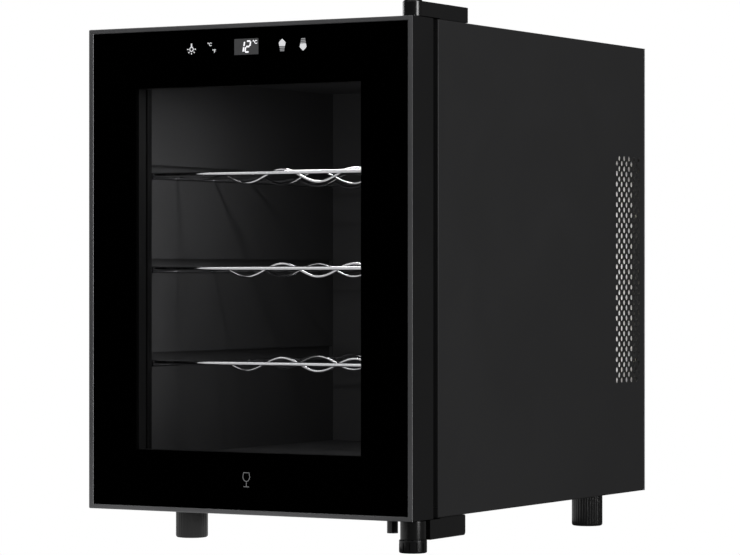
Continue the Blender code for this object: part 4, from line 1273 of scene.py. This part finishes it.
    def _bores(self, barrel_low: float, top: float, low: Vector, high: Vector) -> list[Thing]:
        """Make the tools for the holes of the bottom bracket.

        Args:
            barrel_low: bottom of the barrel.
            top: top of the barrel and the housing.
            low: lowest corner of the CAD bracket.
            high: highest corner of the CAD bracket.

        Returns:
            The stud's, the pin's and the screws' tools.
        """
        stud_z = (barrel_low - self.past, barrel_low + 0.0075)
        stud_middle = (self.axis.x, self.axis.y, sum(stud_z) / 2)
        bores = [
            bar("stud_bore", stud_middle, self.stud_bore, stud_z[1] - stud_z[0], Axis.Z, 32),
            bar("pin_bore", (self.axis.x, self.axis.y, top), self.pin_bore, self.pin_reach, Axis.Z, 32),
        ]
        for i in (1, 2):
            screw_low, screw_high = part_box(f"bottom_hinge_screw_{i}")
            centre = (screw_low + screw_high) / 2
            seat = screw_low.z + self.seat
            pocket = (self.screw_bore, low.z - self.past, seat)
            shank = (self.shank_bore, seat - 0.001, high.z + self.past)
            for radius, z0, z1 in (pocket, shank):
                middle = (centre.x, centre.y, (z0 + z1) / 2)
                bores.append(bar("bore", middle, radius, z1 - z0, Axis.Z, 24))
        return bores


@dataclass
class Feet:
    """Three fluted feet and the knurled levelling foot.

    Args:
        flutes: flutes round a plain foot.
        flute_depth: depth of a flute as a share of the radius.
        rim: rounding of a foot's bottom edge.
        ribs: ribs round the levelling foot.
        slot: width of the slots between ribs.
        slot_depth: depth of those slots.
        slot_top: top of the ring to the top of the slots.
        stud: length of the stud above the ring.
        stud_radius: radius of the stud.
        ring_foot: rounding of the ring's bottom edge.
        ring_head: rounding of the ring's top edge.
        past: how far a cutting or added piece passes the ring's faces.
    """

    flutes: int = 30
    flute_depth: float = 0.028
    rim: float = 0.0022
    ribs: int = 12
    slot: float = 0.0012
    slot_depth: float = 0.0011
    slot_top: float = 0.0022
    stud: float = 0.0072
    stud_radius: float = 0.004
    ring_foot: float = 0.0014
    ring_head: float = 0.0006
    past: float = 0.002

    def build(self) -> None:
        """Build all four feet."""
        for node in ("foot_front_left", "foot_rear_left", "foot_rear_right"):
            self._plain(node)
        self._levelling()

    def _plain(self, node: str) -> None:
        """Build one plain foot: a fluted, slightly rounded column.

        Args:
            node: CAD node that it stands for.
        """
        low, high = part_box(node)
        centre = (low + high) / 2
        radius = (high.x - low.x) / 2
        foot = bar(f"{node}_fluted", centre, radius, high.z - low.z, Axis.Z, self.flutes * 4)
        bevel(foot, at(2, low.z), self.rim, 4)
        for vert in foot.data.vertices:
            out = Vector((vert.co.x - centre.x, vert.co.y - centre.y))
            turn = math.atan2(out.y, out.x) * self.flutes
            share = 1 - self.flute_depth * max(0.0, math.cos(turn)) ** 0.7
            vert.co.x = centre.x + out.x * share
            vert.co.y = centre.y + out.y * share
        smooth(foot, 50)
        Fitted(Body.CABINET, "gloss_black_plastic", GLOSS_BLACK, (node,)).fit(foot)

    def _levelling(self) -> None:
        """Build the levelling foot: a ribbed ring on a threaded stud."""
        low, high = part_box("levelling_foot")
        centre = (low + high) / 2
        radius = (high.x - low.x) / 2
        ring_top = high.z - self.stud
        ring_middle = (centre.x, centre.y, (low.z + ring_top) / 2)
        foot = bar("levelling_foot_knob", ring_middle, radius, ring_top - low.z, Axis.Z, 96)
        bevel(foot, at(2, low.z), self.ring_foot, 4)
        bevel(foot, at(2, ring_top), self.ring_head, 3)
        on_axis = Matrix.Translation((centre.x, centre.y, 0))
        slots = []
        for i in range(self.ribs):
            turn = 2 * math.pi * (i + 0.5) / self.ribs
            slot = block(
                "slot",
                (radius - self.slot_depth, -self.slot / 2, low.z - self.past),
                (radius + self.past, self.slot / 2, ring_top - self.slot_top),
            )
            slot.data.transform(on_axis @ Matrix.Rotation(turn, 4, "Z"))
            slots.append(slot)
        combine(foot, slots, Blend.CUT)
        stud_low = ring_top - self.past
        stud_middle = (centre.x, centre.y, (stud_low + high.z) / 2)
        stud = bar("stud", stud_middle, self.stud_radius, high.z - stud_low, Axis.Z, 32)
        combine(foot, [stud], Blend.ADD)
        smooth(foot, 35)
        Fitted(Body.FOOT, "gloss_black_plastic", GLOSS_BLACK, ("levelling_foot",)).fit(foot)


@dataclass
class Screws:
    """Domed cross-recess screws, each built anew in the place of its CAD node.

    Args:
        recess: width of the cross recess.
        deep: depth of the recess.
        arm: half length of the cross as a share of the head's radius.
        height: height of the head.
        dome: rounding of the head.
        shank: radius of the shank.
    """

    recess: float = 0.0009
    deep: float = 0.0011
    arm: float = 0.62
    height: float = 0.0022
    dome: float = 0.0011
    shank: float = 0.002

    def build(self) -> None:
        """Build every screw of the cooler."""
        for i in (1, 2):
            self._screw(f"top_hinge_screw_{i}", Axis.Z, 1)
            self._screw(f"bottom_hinge_screw_{i}", Axis.Z, -1)
        for i in (1, 2, 3, 4):
            self._screw(f"rear_screw_{i}", Axis.Y, 1)

    def _screw(self, node: str, axis: Axis, out: int) -> None:
        """Build one screw in the place of a CAD node.

        Args:
            node: CAD node that it stands for.
            axis: direction of its shank.
            out: 1 or -1, the way its head faces along the axis.
        """
        low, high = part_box(node)
        centre = (low + high) / 2
        index = 2 if axis is Axis.Z else 1
        length = high[index] - low[index]
        radius = (high.x - low.x) / 2
        top = length / 2
        head = bar(f"{node}_cross", (0, 0, top - self.height / 2), radius, self.height, Axis.Z, 32)
        bevel(head, at(2, top), self.dome, 4)
        shank_middle = (0, 0, -self.height / 4)
        shank = bar("shank", shank_middle, self.shank, length - self.height / 2, Axis.Z, 20)
        combine(head, [shank], Blend.ADD)
        arm = radius * self.arm
        half = self.recess / 2
        cross = [
            block("cross", (-x, -y, top - self.deep), (x, y, top + 0.001))
            for x, y in ((arm, half), (half, arm))
        ]
        combine(head, cross, Blend.CUT)
        turn = Matrix.Identity(4)
        if axis is Axis.Y:
            turn = Matrix.Rotation(-math.pi / 2, 4, "X")
        elif out < 0:
            turn = Matrix.Rotation(math.pi, 4, "X")
        head.data.transform(Matrix.Translation(centre) @ turn)
        smooth(head, 40)
        Fitted(Body.CABINET, "zinc_plate", SCREW_ZINC, (node,)).fit(head)


# ---------------------------------------------------------------- door
@dataclass
class Door:
    """Door shell with its bezel, panes, black print, seal and bushes.

    Args:
        bezel_side: frame seen beside the glass.
        bezel_end: frame seen above and below the glass.
        film: thickness of the black print.
        rebate: depth of the glass rebate from the face.
        window_side: door edge to the clear window.
        window_end: door end to the clear window.
        pane_margin: inner pane past the clear window.
        board_room: clearance round the control board.
        bush_room: clearance round a bush.
        corner: bevel of the door's outer corners.
        back_edge: bevel of the outline at the back.
        front_edge: bevel of the edges of the face.
        face_depth: depth of the face that the bezel metal covers.
        ground_edge: bevel of the pane's edges.
        stop_width: width of the stop's sides.
        seal_width: width of the seal's sides.
        seal_layers: start, end and inset of each layer of the seal, the first two as shares.
        seal_lap: how far one layer reaches into the next.
        past: how far a cutting tool passes the door.
    """

    bezel_side: float = 0.0050
    bezel_end: float = 0.0042
    film: float = 0.00008
    rebate: float = 0.0051
    window_side: float = 0.0528
    window_end: float = 0.056
    pane_margin: float = 0.0085
    board_room: float = 0.0028
    bush_room: float = 0.0003
    corner: float = 0.0009
    back_edge: float = 0.0012
    front_edge: float = 0.0006
    face_depth: float = 0.0012
    ground_edge: float = 0.0004
    stop_width: float = 0.007
    seal_width: float = 0.012
    seal_layers: tuple[Place, ...] = ((0.0, 0.3, 0.0), (0.3, 0.62, 0.0018), (0.62, 1.0, 0.0))
    seal_lap: float = 0.0002
    past: float = 0.003

    def build(self) -> None:
        """Build the door from its shell outwards."""
        self.low, self.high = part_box("door_frame")
        self._shell()
        self._glass()
        self._print()
        self._stop()
        self._gasket()
        dress_node("pane_spacer", MATTE_BLACK)
        dress_node("inner_glass", SMOKED_GLASS)
        dress_node("control_board", BOARD)
        for name in ("door_bush_top", "door_bush_bottom"):
            dress_node(name, BUSH)

    def _shell(self) -> None:
        """Build the moulded shell with a dark metal bezel round the glass."""
        low, high = self.low, self.high
        shell = block("door_shell", low, high)
        past = self.past
        opening = self.window_side - self.pane_margin
        opening_end = self.window_end - self.pane_margin
        tools = [
            block(
                "rebate",
                (low.x + self.bezel_side, low.y - past, low.z + self.bezel_end),
                (high.x - self.bezel_side, low.y + self.rebate, high.z - self.bezel_end),
            ),
            block(
                "opening",
                (low.x + opening, low.y - past, low.z + opening_end),
                (high.x - opening, high.y + past, high.z - opening_end),
            ),
        ]
        board_low, board_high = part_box("control_board")
        room = self.board_room
        tools.append(
            block(
                "control_pocket",
                (board_low.x - room, low.y + self.rebate - 0.0005, board_low.z - room),
                (board_high.x + room, board_high.y + room, board_high.z + room),
            )
        )
        for name, out in (("door_bush_top", 1), ("door_bush_bottom", -1)):
            bush_low, bush_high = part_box(name)
            centre = (bush_low + bush_high) / 2 + Vector((0, 0, out * 0.005))
            length = bush_high.z - bush_low.z + 0.01
            radius = (bush_high.x - bush_low.x) / 2 + self.bush_room
            tools.append(bar("bush_pocket", centre, radius, length, Axis.Z, 32))
        combine(shell, tools, Blend.CUT)
        bevel(shell, both(self._is_outer, along(1, 0.02)), self.corner, 2)
        bevel(shell, both(self._is_outer, at(1, high.y)), self.back_edge, 3)
        bevel(shell, at(1, low.y), self.front_edge, 2)
        shell.data.materials.append(DOOR_PLASTIC.material())
        shell.data.materials.append(BEZEL_METAL.material())
        for face in shell.data.polygons:
            if face.normal.y < -0.2 and face.center.y < low.y + self.face_depth:
                face.material_index = 1
        smooth(shell, 35)
        Fitted(Body.DOOR, "door_plastic", DOOR_PLASTIC, ("door_frame",)).fit(shell)

    def _is_outer(self, a: Vector, b: Vector) -> bool:
        """Tell whether an edge lies on the door's outline.

        Args:
            a: first end of the edge.
            b: its second end.

        Returns:
            Whether it does.
        """
        room = 0.001
        beside = min(abs(a.x), abs(b.x)) > self.high.x - room
        over = min(a.z, b.z) > self.high.z - room or max(a.z, b.z) < self.low.z + room
        return beside or over

    def _glass(self) -> None:
        """Build the outer pane with ground edges."""
        low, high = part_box("front_glass")
        pane = block("front_pane", low, high)
        bevel(pane, any_edge, self.ground_edge, 2)
        smooth(pane, 35)
        Fitted(Body.DOOR, "front_glass", CLEAR_GLASS, ("front_glass",)).fit(pane)

    def _print(self) -> None:
        """Build the black print on the outer pane's face, with its two windows."""
        low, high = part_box("front_glass")
        face = low.y - self.film
        back = low.y - self.film / 4
        sheet = block("black_glass_print", (low.x, face, low.z), (high.x, back, high.z))
        show = Controls.display_place()
        wide, tall = Controls.display_size
        holes = (
            (
                (self.low.x + self.window_side, self.low.z + self.window_end),
                (self.high.x - self.window_side, self.high.z - self.window_end),
            ),
            ((show.x - wide / 2, show.z - tall / 2), (show.x + wide / 2, show.z + tall / 2)),
        )
        for (x0, z0), (x1, z1) in holes:
            hole = block("window", (x0, face - self.rebate, z0), (x1, low.y + self.rebate, z1))
            combine(sheet, [hole], Blend.CUT)
        Fitted(Body.DOOR, "front_glass", PRINT_BLACK).fit(sheet)

    def _stop(self) -> None:
        """Build the stop that holds the inner pane, with soft edges."""
        low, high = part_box("glass_stop")
        width = self.stop_width
        stop = block("pane_stop", low, high)
        hole = block(
            "hole",
            (low.x + width, low.y - self.past, low.z + width),
            (high.x - width, high.y + self.past, high.z - width),
        )
        combine(stop, [hole], Blend.CUT)
        bevel(stop, at(1, high.y), 0.001, 3)
        bevel(stop, at(1, low.y), 0.0004, 2)
        smooth(stop, 35)
        Fitted(Body.DOOR, "matte_black_plastic", DOOR_PLASTIC, ("glass_stop",)).fit(stop)

    def _gasket(self) -> None:
        """Build the seal: a foot in the door, a bellows fold and a magnet strip."""
        low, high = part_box("door_gasket")
        width = self.seal_width
        deep = high.y - low.y
        seal = None
        for start, end, inset in self.seal_layers:
            y0 = low.y + start * deep
            y1 = low.y + end * deep + (self.seal_lap if end < 1 else 0)
            outer = block(
                "door_seal",
                (low.x + inset, y0, low.z + inset),
                (high.x - inset, y1, high.z - inset),
            )
            hole = block(
                "hole",
                (low.x + width - inset, y0 - self.past, low.z + width - inset),
                (high.x - width + inset, y1 + self.past, high.z - width + inset),
            )
            combine(outer, [hole], Blend.CUT)
            seal = outer if seal is None else combine(seal, [outer], Blend.ADD)
        bevel(seal, any_edge, 0.0005, 2)
        smooth(seal, 40)
        seal.name = "door_seal"
        # The seal's rubber is darkened to paint the shade in the gap between door and cabinet.
        Fitted(Body.DOOR, "rubber", RUBBER_WITH_GAP_SHADE, ("door_gasket",)).fit(seal)


@dataclass
class Controls:
    """Display with its digits, the printed touch marks and the wine-glass mark; the printed marks carry
    a painted glow.

    Args:
        centre_down: centre line of the controls below the door's top.
        lamp_x: place of the lamp mark.
        unit_x: place of the unit mark.
        up_x: place of the up arrow.
        down_x: place of the down arrow.
        mark_z: height of the wine-glass mark above the door's bottom.
        film: thickness of a printed mark.
        proud: front pane to the back of a printed mark, outwards.
        bolder: how far the outlines of letters are widened.
        unit_size: height of the printed letters.
        tens_x: place of the first digit beside the display's middle.
        ones_x: place of the second digit.
        slope: sideways lean of a digit for each step up.
        display_size: width and height of the display window.
    """

    centre_down: float = 0.0215
    lamp_x: float = -0.059
    unit_x: float = -0.037
    up_x: float = 0.038
    down_x: float = 0.060
    mark_z: float = 0.0285
    film: float = 0.00006
    proud: float = 0.00016
    bolder: float = 0.00012
    unit_size: float = 0.0042
    tens_x: float = -0.0048
    ones_x: float = 0.0016
    slope: float = 0.18
    display_size: ClassVar[Span] = (0.0258, 0.0145)

    @staticmethod
    def display_place() -> Vector:
        """Return the middle of the display window."""
        low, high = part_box("display_module")
        return (low + high) / 2

    def build(self) -> None:
        """Build the display and every printed mark."""
        self.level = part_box("door_frame")[1].z - self.centre_down
        self.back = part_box("front_glass")[0].y - self.proud
        self._display()
        self._lamp_mark()
        self._unit_mark()
        self._arrow("up_mark", self.up_x, 1)
        self._arrow("down_mark", self.down_x, -1)
        self._wine_mark()

    def _chip(self, x: Span, z: Span, y: float | None = None) -> Thing:
        """Make one flat rectangle of a print, in the print's own plane or with its front at y."""
        front = self.back if y is None else y
        return block("chip", (x[0], front, z[0]), (x[1], front + self.film, z[1]))

    def _bar_mark(self, start: Sequence[float], end: Sequence[float], width: float) -> Thing:
        """Make one straight stroke between two points of the print.

        Args:
            start: first end, as X and Z.
            end: second end, as X and Z.
            width: the stroke's width.

        Returns:
            The stroke.
        """
        run = Vector((end[0] - start[0], end[1] - start[1]))
        chip = self._chip((-run.length / 2, run.length / 2), (-width / 2, width / 2))
        turn = Matrix.Rotation(-math.atan2(run.y, run.x), 4, "Y")
        middle = Vector(((start[0] + end[0]) / 2, 0, (start[1] + end[1]) / 2))
        chip.data.transform(Matrix.Translation(middle) @ turn)
        return chip

    def _ring_mark(self, x: float, z: float, radius: float, width: float) -> Thing:
        """Make a printed ring.

        Args:
            x: its middle across.
            z: its middle up.
            radius: its outer radius.
            width: the line's width.

        Returns:
            The ring.
        """
        y = self.back + self.film / 2
        disc = bar("ring", (x, y, z), radius, self.film, Axis.Y, 40)
        hole = bar("hole", (x, y, z), radius - width, 10 * self.film, Axis.Y, 40)
        return combine(disc, [hole], Blend.CUT)

    def _outline_mark(self, points: Sequence[Sequence[float]]) -> Thing:
        """Make a filled shape from the corners of its outline.

        Args:
            points: corners as X and Z.

        Returns:
            The shape.
        """
        deselect()
        bpy.ops.mesh.primitive_circle_add(vertices=len(points), radius=1.0, fill_type="NGON")
        shape = bpy.context.object
        for vert, (x, z) in zip(shape.data.vertices, points):
            vert.co = (x, self.back, z)
        activate(shape)
        bpy.ops.object.mode_set(mode="EDIT")
        bpy.ops.mesh.select_all(action="SELECT")
        bpy.ops.mesh.extrude_region_move(TRANSFORM_OT_translate={"value": (0, self.film, 0)})
        bpy.ops.mesh.select_all(action="SELECT")
        bpy.ops.mesh.normals_make_consistent(inside=False)
        bpy.ops.object.mode_set(mode="OBJECT")
        return shape

    def _lettering(self, text: str, x: float, z: float, size: float) -> Thing:
        """Make a unit sign as a flat mesh.

        Args:
            text: the sign, such as a degree letter.
            x: its middle across.
            z: its middle up.
            size: height of its letters.

        Returns:
            The sign.
        """
        deselect()
        bpy.ops.object.text_add()
        obj = bpy.context.object
        obj.data.body = text
        obj.data.size = size
        obj.data.align_x = "CENTER"
        obj.data.align_y = "CENTER"
        obj.data.extrude = self.film / 2
        obj.data.offset = self.bolder
        obj.data.resolution_u = 4
        bpy.ops.object.convert(target="MESH")
        obj = bpy.context.object
        place = Matrix.Translation((x, self.back + self.film / 2, z))
        obj.data.transform(place @ Matrix.Rotation(math.pi / 2, 4, "X"))
        return obj

    def _display(self) -> None:
        """Build the display block, the smoked film over it and its lit digits."""
        low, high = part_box("display_module")
        panel = block("display_block", low, high)
        bevel(panel, any_edge, 0.0003, 2)
        smooth(panel)
        Fitted(Body.DOOR, "display_panel", DISPLAY, ("display_module",)).fit(panel)
        middle = self.display_place()
        wide, tall = self.display_size
        across = (middle.x - wide / 2 + self.film, middle.x + wide / 2 - self.film)
        up = (middle.z - tall / 2 + self.film, middle.z + tall / 2 - self.film)
        film = self._chip(across, up, self.back + self.film)
        film.name = "display_film"
        Fitted(Body.DOOR, "display_panel", DISPLAY).fit(film)
        digits = [
            self._digit("BC", middle.x + self.tens_x),
            self._digit("ABGED", middle.x + self.ones_x),
        ]
        for digit in digits:
            digit.data.transform(Matrix.Translation((0, 0, middle.z)))
        unit = self._lettering("°C", middle.x + 0.0092, middle.z + 0.0037, 0.0044)
        Fitted(Body.DOOR, "display_panel", DIGITS).fit(joined("display_digits_lit", [*digits, unit]))

    def _digit(self, lit: str, x: float) -> Thing:
        """Build one slanted seven-segment digit about Z = 0.

        Args:
            lit: letters of the lit segments, A at the top and then clockwise, G in the middle.
            x: the digit's middle.

        Returns:
            The digit.
        """
        half_wide, half_tall, width, gap = 0.0022, 0.0049, 0.0014, 0.0003
        trim = gap + width * 0.15
        ends = {
            "A": ((-half_wide, half_tall), (half_wide, half_tall)),
            "B": ((half_wide, half_tall), (half_wide, 0)),
            "C": ((half_wide, 0), (half_wide, -half_tall)),
            "D": ((-half_wide, -half_tall), (half_wide, -half_tall)),
            "E": ((-half_wide, 0), (-half_wide, -half_tall)),
            "F": ((-half_wide, half_tall), (-half_wide, 0)),
            "G": ((-half_wide, 0), (half_wide, 0)),
        }
        strokes = []
        for letter in lit:
            start, end = Vector(ends[letter][0]), Vector(ends[letter][1])
            run = (end - start).normalized() * trim
            strokes.append(self._bar_mark(start + run, end - run, width))
        digit = joined("digit", strokes)
        slant = Matrix.Identity(4)
        slant[0][2] = self.slope
        digit.data.transform(Matrix.Translation((x, 0, 0)) @ slant)
        return digit

    def _lamp_mark(self) -> None:
        """Build the lamp mark: a hanging ring with rays round its lower half."""
        x, z = self.lamp_x, self.level - 0.0004
        middle = Vector((x, z))
        line = 0.0009
        rays, ray_start, ray_end = 5, 0.0031, 0.0048
        marks = [self._ring_mark(x, z, 0.0023, line)]
        for i in range(rays):
            turn = math.pi * (1 + i / (rays - 1))
            out = Vector((math.cos(turn), math.sin(turn)))
            marks.append(self._bar_mark(middle + out * ray_start, middle + out * ray_end, line))
        hang_low, hang_high, hang_width = 0.0022, 0.0052, 0.0015
        marks.append(self._bar_mark((x, z + hang_low), (x, z + hang_high), hang_width))
        self._fit_marks("lamp_mark", marks)

    def _unit_mark(self) -> None:
        """Build the unit mark: the two degree signs, one above the other."""
        x, z = self.unit_x, self.level
        marks = [
            self._lettering("°C", x - 0.0024, z + 0.0032, self.unit_size),
            self._lettering("°F", x + 0.0024, z - 0.0030, self.unit_size),
        ]
        self._fit_marks("unit_mark", marks)

    def _arrow(self, name: str, x: float, up: int) -> None:
        """Build an arrow whose tail breaks up into thinning bars.

        Args:
            name: name of the mark.
            x: its middle across.
            up: 1 for up, -1 for down.
        """
        z = self.level
        tip, shoulder, foot = 0.0058, 0.0022, -0.0008
        head_half, neck_half = 0.0036, 0.0029
        corners = [
            (0, tip),
            (-head_half * 0.75, shoulder + 0.0012),
            (-head_half, shoulder),
            (-neck_half, foot),
            (neck_half, foot),
            (head_half, shoulder),
            (head_half * 0.75, shoulder + 0.0012),
        ]
        head = self._outline_mark([(x + px, z + up * pz) for px, pz in corners])
        self._fit_marks(name, [head])
        tail = []
        level = foot - 0.0005
        between = 0.0007
        for height, half in ((0.0011, 0.0027), (0.0009, 0.0024), (0.0007, 0.0021)):
            start, end = sorted((z + up * level, z + up * (level - height)))
            tail.append(self._chip((x - half, x + half), (start, end)))
            level -= height + between
        # The tail's softer print carries a painted glow.
        self._fit_marks(f"{name}_tail", tail, SOFT_PRINT_PAINTED_GLOW)

    def _wine_mark(self) -> None:
        """Build a small outline of a wine glass, low on the door."""
        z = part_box("door_frame")[0].z + self.mark_z
        line, steps = 0.0005, 14
        bowl, stem = 0.0052, 0.0062
        half_wide, deep, half_rim = 0.0036, 0.0042, 0.0030
        stem_low, stem_high = z - stem / 2, z + stem / 2
        belly, brim = stem_high + bowl * 0.55, stem_high + bowl * 1.25
        turns = [math.radians(180 + 180 * i / steps) for i in range(steps + 1)]
        arc = [(half_wide * math.cos(t), belly + deep * math.sin(t)) for t in turns]
        rim = [(-half_rim, brim), *arc, (half_rim, brim)]
        marks = [self._bar_mark(start, end, line) for start, end in zip(rim, rim[1:])]
        marks.append(self._bar_mark(rim[0], rim[-1], line))
        marks.append(self._bar_mark((0, stem_low), (0, stem_high - 0.0012), line))
        marks.append(self._bar_mark((-half_rim, stem_low), (half_rim, stem_low), line))
        # The wine-glass mark's grey print carries a painted glow.
        self._fit_marks("wine_glass_mark", marks, GREY_PRINT_PAINTED_GLOW)

    def _fit_marks(self, name: str, marks: list[Thing], finish: Finish = WHITE_PRINT_PAINTED_GLOW) -> None:
        """Join the strokes of one mark and set it on the door in its ink, which carries a painted glow.
        """
        Fitted(Body.DOOR, "front_glass", finish).fit(joined(name, marks))


# ---------------------------------------------------------------- studio
@dataclass(frozen=True)
class SoftBox:
    """One area light that faces a target.

    Args:
        name: name of the light.
        place: where it stands.
        target: what it faces.
        size: its width and height.
        power: its power in watts.
    """

    name: str
    place: Place
    target: Place
    size: Span
    power: float

    def build(self) -> None:
        """Add the light, unseen by the camera."""
        data = bpy.data.lights.new(self.name, "AREA")
        data.shape = "RECTANGLE"
        data.size, data.size_y = self.size
        data.energy = self.power
        light = bpy.data.objects.new(self.name, data)
        light.location = self.place
        facing = Vector(self.target) - Vector(self.place)
        light.rotation_euler = facing.to_track_quat("-Z", "Y").to_euler()
        light.visible_camera = False
        bpy.context.scene.collection.objects.link(light)


@dataclass
class Studio:
    """Pale floor, soft lights, white surroundings and the camera.

    Args:
        lens: focal length on a 36 mm wide sensor.
        turn: the camera's turn about Z, in degrees.
        camera: the camera's place.
        shift: vertical shift as a share of the image's width.
        ambient: strength of the surroundings as light.
        boxes: the soft boxes round the cooler.
        lamp_drop: lens to the lamp under the ceiling.
        lamp_power: that lamp's power.
        fill_gap: inner pane to the soft fill behind it.
        fill_share: size of the fill as a share of the pane.
        fill_target: how far back the fill aims.
        fill_power: the fill's power.
        vent_place: a vent light's place beside and behind the heat sink's front corner.
        vent_target: how far beside the heat sink a vent light aims.
        vent_size: a vent light's width and height.
        vent_power: a vent light's power.
    """

    lens: float = 156.9
    turn: float = 30.0
    camera: Place = (1.5536, -2.7177, 0.2439)
    shift: float = -0.00135
    ambient: float = 0.08
    boxes: tuple[SoftBox, ...] = (
        SoftBox("overhead", (0.2, -0.3, 2.4), (0.0, 0.0, 0.2), (2.6, 2.6), 26.0),
        SoftBox("right_strip", (2.24, -0.52, 0.45), (0.0, 0.0, 0.25), (0.75, 1.6), 38.0),
        SoftBox("left_strip", (-2.4, 0.35, 0.45), (0.0, 0.0, 0.25), (0.5, 1.6), 14.0),
        SoftBox("floor_bounce", (-0.95, 0.35, 0.0005), (-0.95, 0.35, 1.0), (2.1, 1.6), 5.6),
        SoftBox("window_key", (-1.25, -1.75, 1.5), (0.0, -0.1, 0.25), (0.9, 0.5), 4.0),
    )
    lamp_drop: float = 0.002
    lamp_power: float = 0.15
    fill_gap: float = 0.003
    fill_share: float = 0.8
    fill_target: float = 0.2
    fill_power: float = 0.17
    vent_place: Span = (0.012, 0.006)
    vent_target: float = 0.075
    vent_size: Span = (0.02, 0.24)
    vent_power: float = 0.1

    def build(self) -> None:
        """Set up the scene round the cooler."""
        bpy.context.scene.view_settings.view_transform = "Standard"
        self._world()
        self._floor()
        for box in self.boxes:
            box.build()
        self._cavity_lights()
        self._vent_lights()
        self._camera()

    def _backdrop(self, graph: Graph, kind: str) -> bpy.types.Node:
        """Mix a shader that is white in the picture and dimmer as light.

        Args:
            graph: graph of the world or the floor.
            kind: Blender's type of the glowing shader.

        Returns:
            The mix node.
        """
        path = graph.add("ShaderNodeLightPath")
        mix = graph.add("ShaderNodeMixShader")
        graph.link(path.outputs["Is Camera Ray"], mix.inputs[0])
        for index, strength in ((1, self.ambient), (2, 1.0)):
            glow = graph.add(kind)
            glow.inputs["Color"].default_value = (1, 1, 1, 1)
            glow.inputs["Strength"].default_value = strength
            graph.link(glow.outputs[0], mix.inputs[index])
        return mix

    def _world(self) -> None:
        """Make the surroundings white in the picture and dimmer as light."""
        world = bpy.data.worlds.new("studio")
        bpy.context.scene.world = world
        world.use_nodes = True
        graph = Graph(world.node_tree)
        world.node_tree.nodes.clear()
        out = graph.add("ShaderNodeOutputWorld")
        graph.link(self._backdrop(graph, "ShaderNodeBackground").outputs[0], out.inputs["Surface"])

    def _floor(self) -> None:
        """Add the plain white floor."""
        deselect()
        bpy.ops.mesh.primitive_plane_add(size=30.0, location=(0, 0, -0.0002))
        floor = bpy.context.object
        floor.name = "studio_floor"
        mat = bpy.data.materials.new("studio_floor")
        mat.use_nodes = True
        mat.node_tree.nodes.clear()
        graph = Graph(mat.node_tree)
        out = graph.add("ShaderNodeOutputMaterial")
        graph.link(self._backdrop(graph, "ShaderNodeEmission").outputs[0], out.inputs["Surface"])
        floor.data.materials.append(mat)

    def _cavity_lights(self) -> None:
        """Add the lamp under the ceiling and a soft fill that falls in through the window."""
        low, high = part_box("light_lens")
        lamp = ((low.x + high.x) / 2, (low.y + high.y) / 2, low.z - self.lamp_drop)
        size = (high.x - low.x, high.y - low.y)
        SoftBox("cavity_lamp", lamp, (lamp[0], lamp[1], 0.0), size, self.lamp_power).build()
        low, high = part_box("inner_glass")
        middle = (low + high) / 2
        fill = (middle.x, high.y + self.fill_gap, middle.z)
        target = (middle.x, self.fill_target, middle.z)
        size = (self.fill_share * (high.x - low.x), self.fill_share * (high.z - low.z))
        SoftBox("cavity_fill", fill, target, size, self.fill_power).build()

    def _vent_lights(self) -> None:
        """Add a light behind each field of punched holes."""
        side_low, side_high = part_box("side_panel_right")
        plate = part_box("rear_panel")[0]
        sink_low, sink_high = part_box("hot_heat_sink")
        level = (side_low.z + side_high.z) / 2
        for side in (-1, 1):
            beside, behind = self.vent_place
            place = (side * (sink_high.x + beside), sink_low.y + behind, level)
            target = (side * (sink_high.x + self.vent_target), plate.y, level)
            SoftBox(f"vent_light_{side}", place, target, self.vent_size, self.vent_power).build()

    def _camera(self) -> None:
        """Add the level camera."""
        data = bpy.data.cameras.new("camera")
        data.lens = self.lens
        data.sensor_width = 36.0
        data.shift_y = self.shift
        data.clip_end = 100.0
        camera = bpy.data.objects.new("camera", data)
        camera.location = self.camera
        camera.rotation_euler = (math.pi / 2, 0, math.radians(self.turn))
        bpy.context.scene.collection.objects.link(camera)
        bpy.context.scene.camera = camera


def main() -> None:
    """Build the cooler's looks, sub-assembly by sub-assembly."""
    logging.basicConfig(level=logging.INFO, format="%(message)s")
    for assembly in (
        SteelShell(),
        Inside(),
        WireRacks(),
        CoolingUnit(),
        Hinges(),
        Feet(),
        Screws(),
        Door(),
        Controls(),
        Studio(),
    ):
        LOG.info("building %s", type(assembly).__name__)
        assembly.build()
    deselect()


if __name__ == "__main__":
    main()
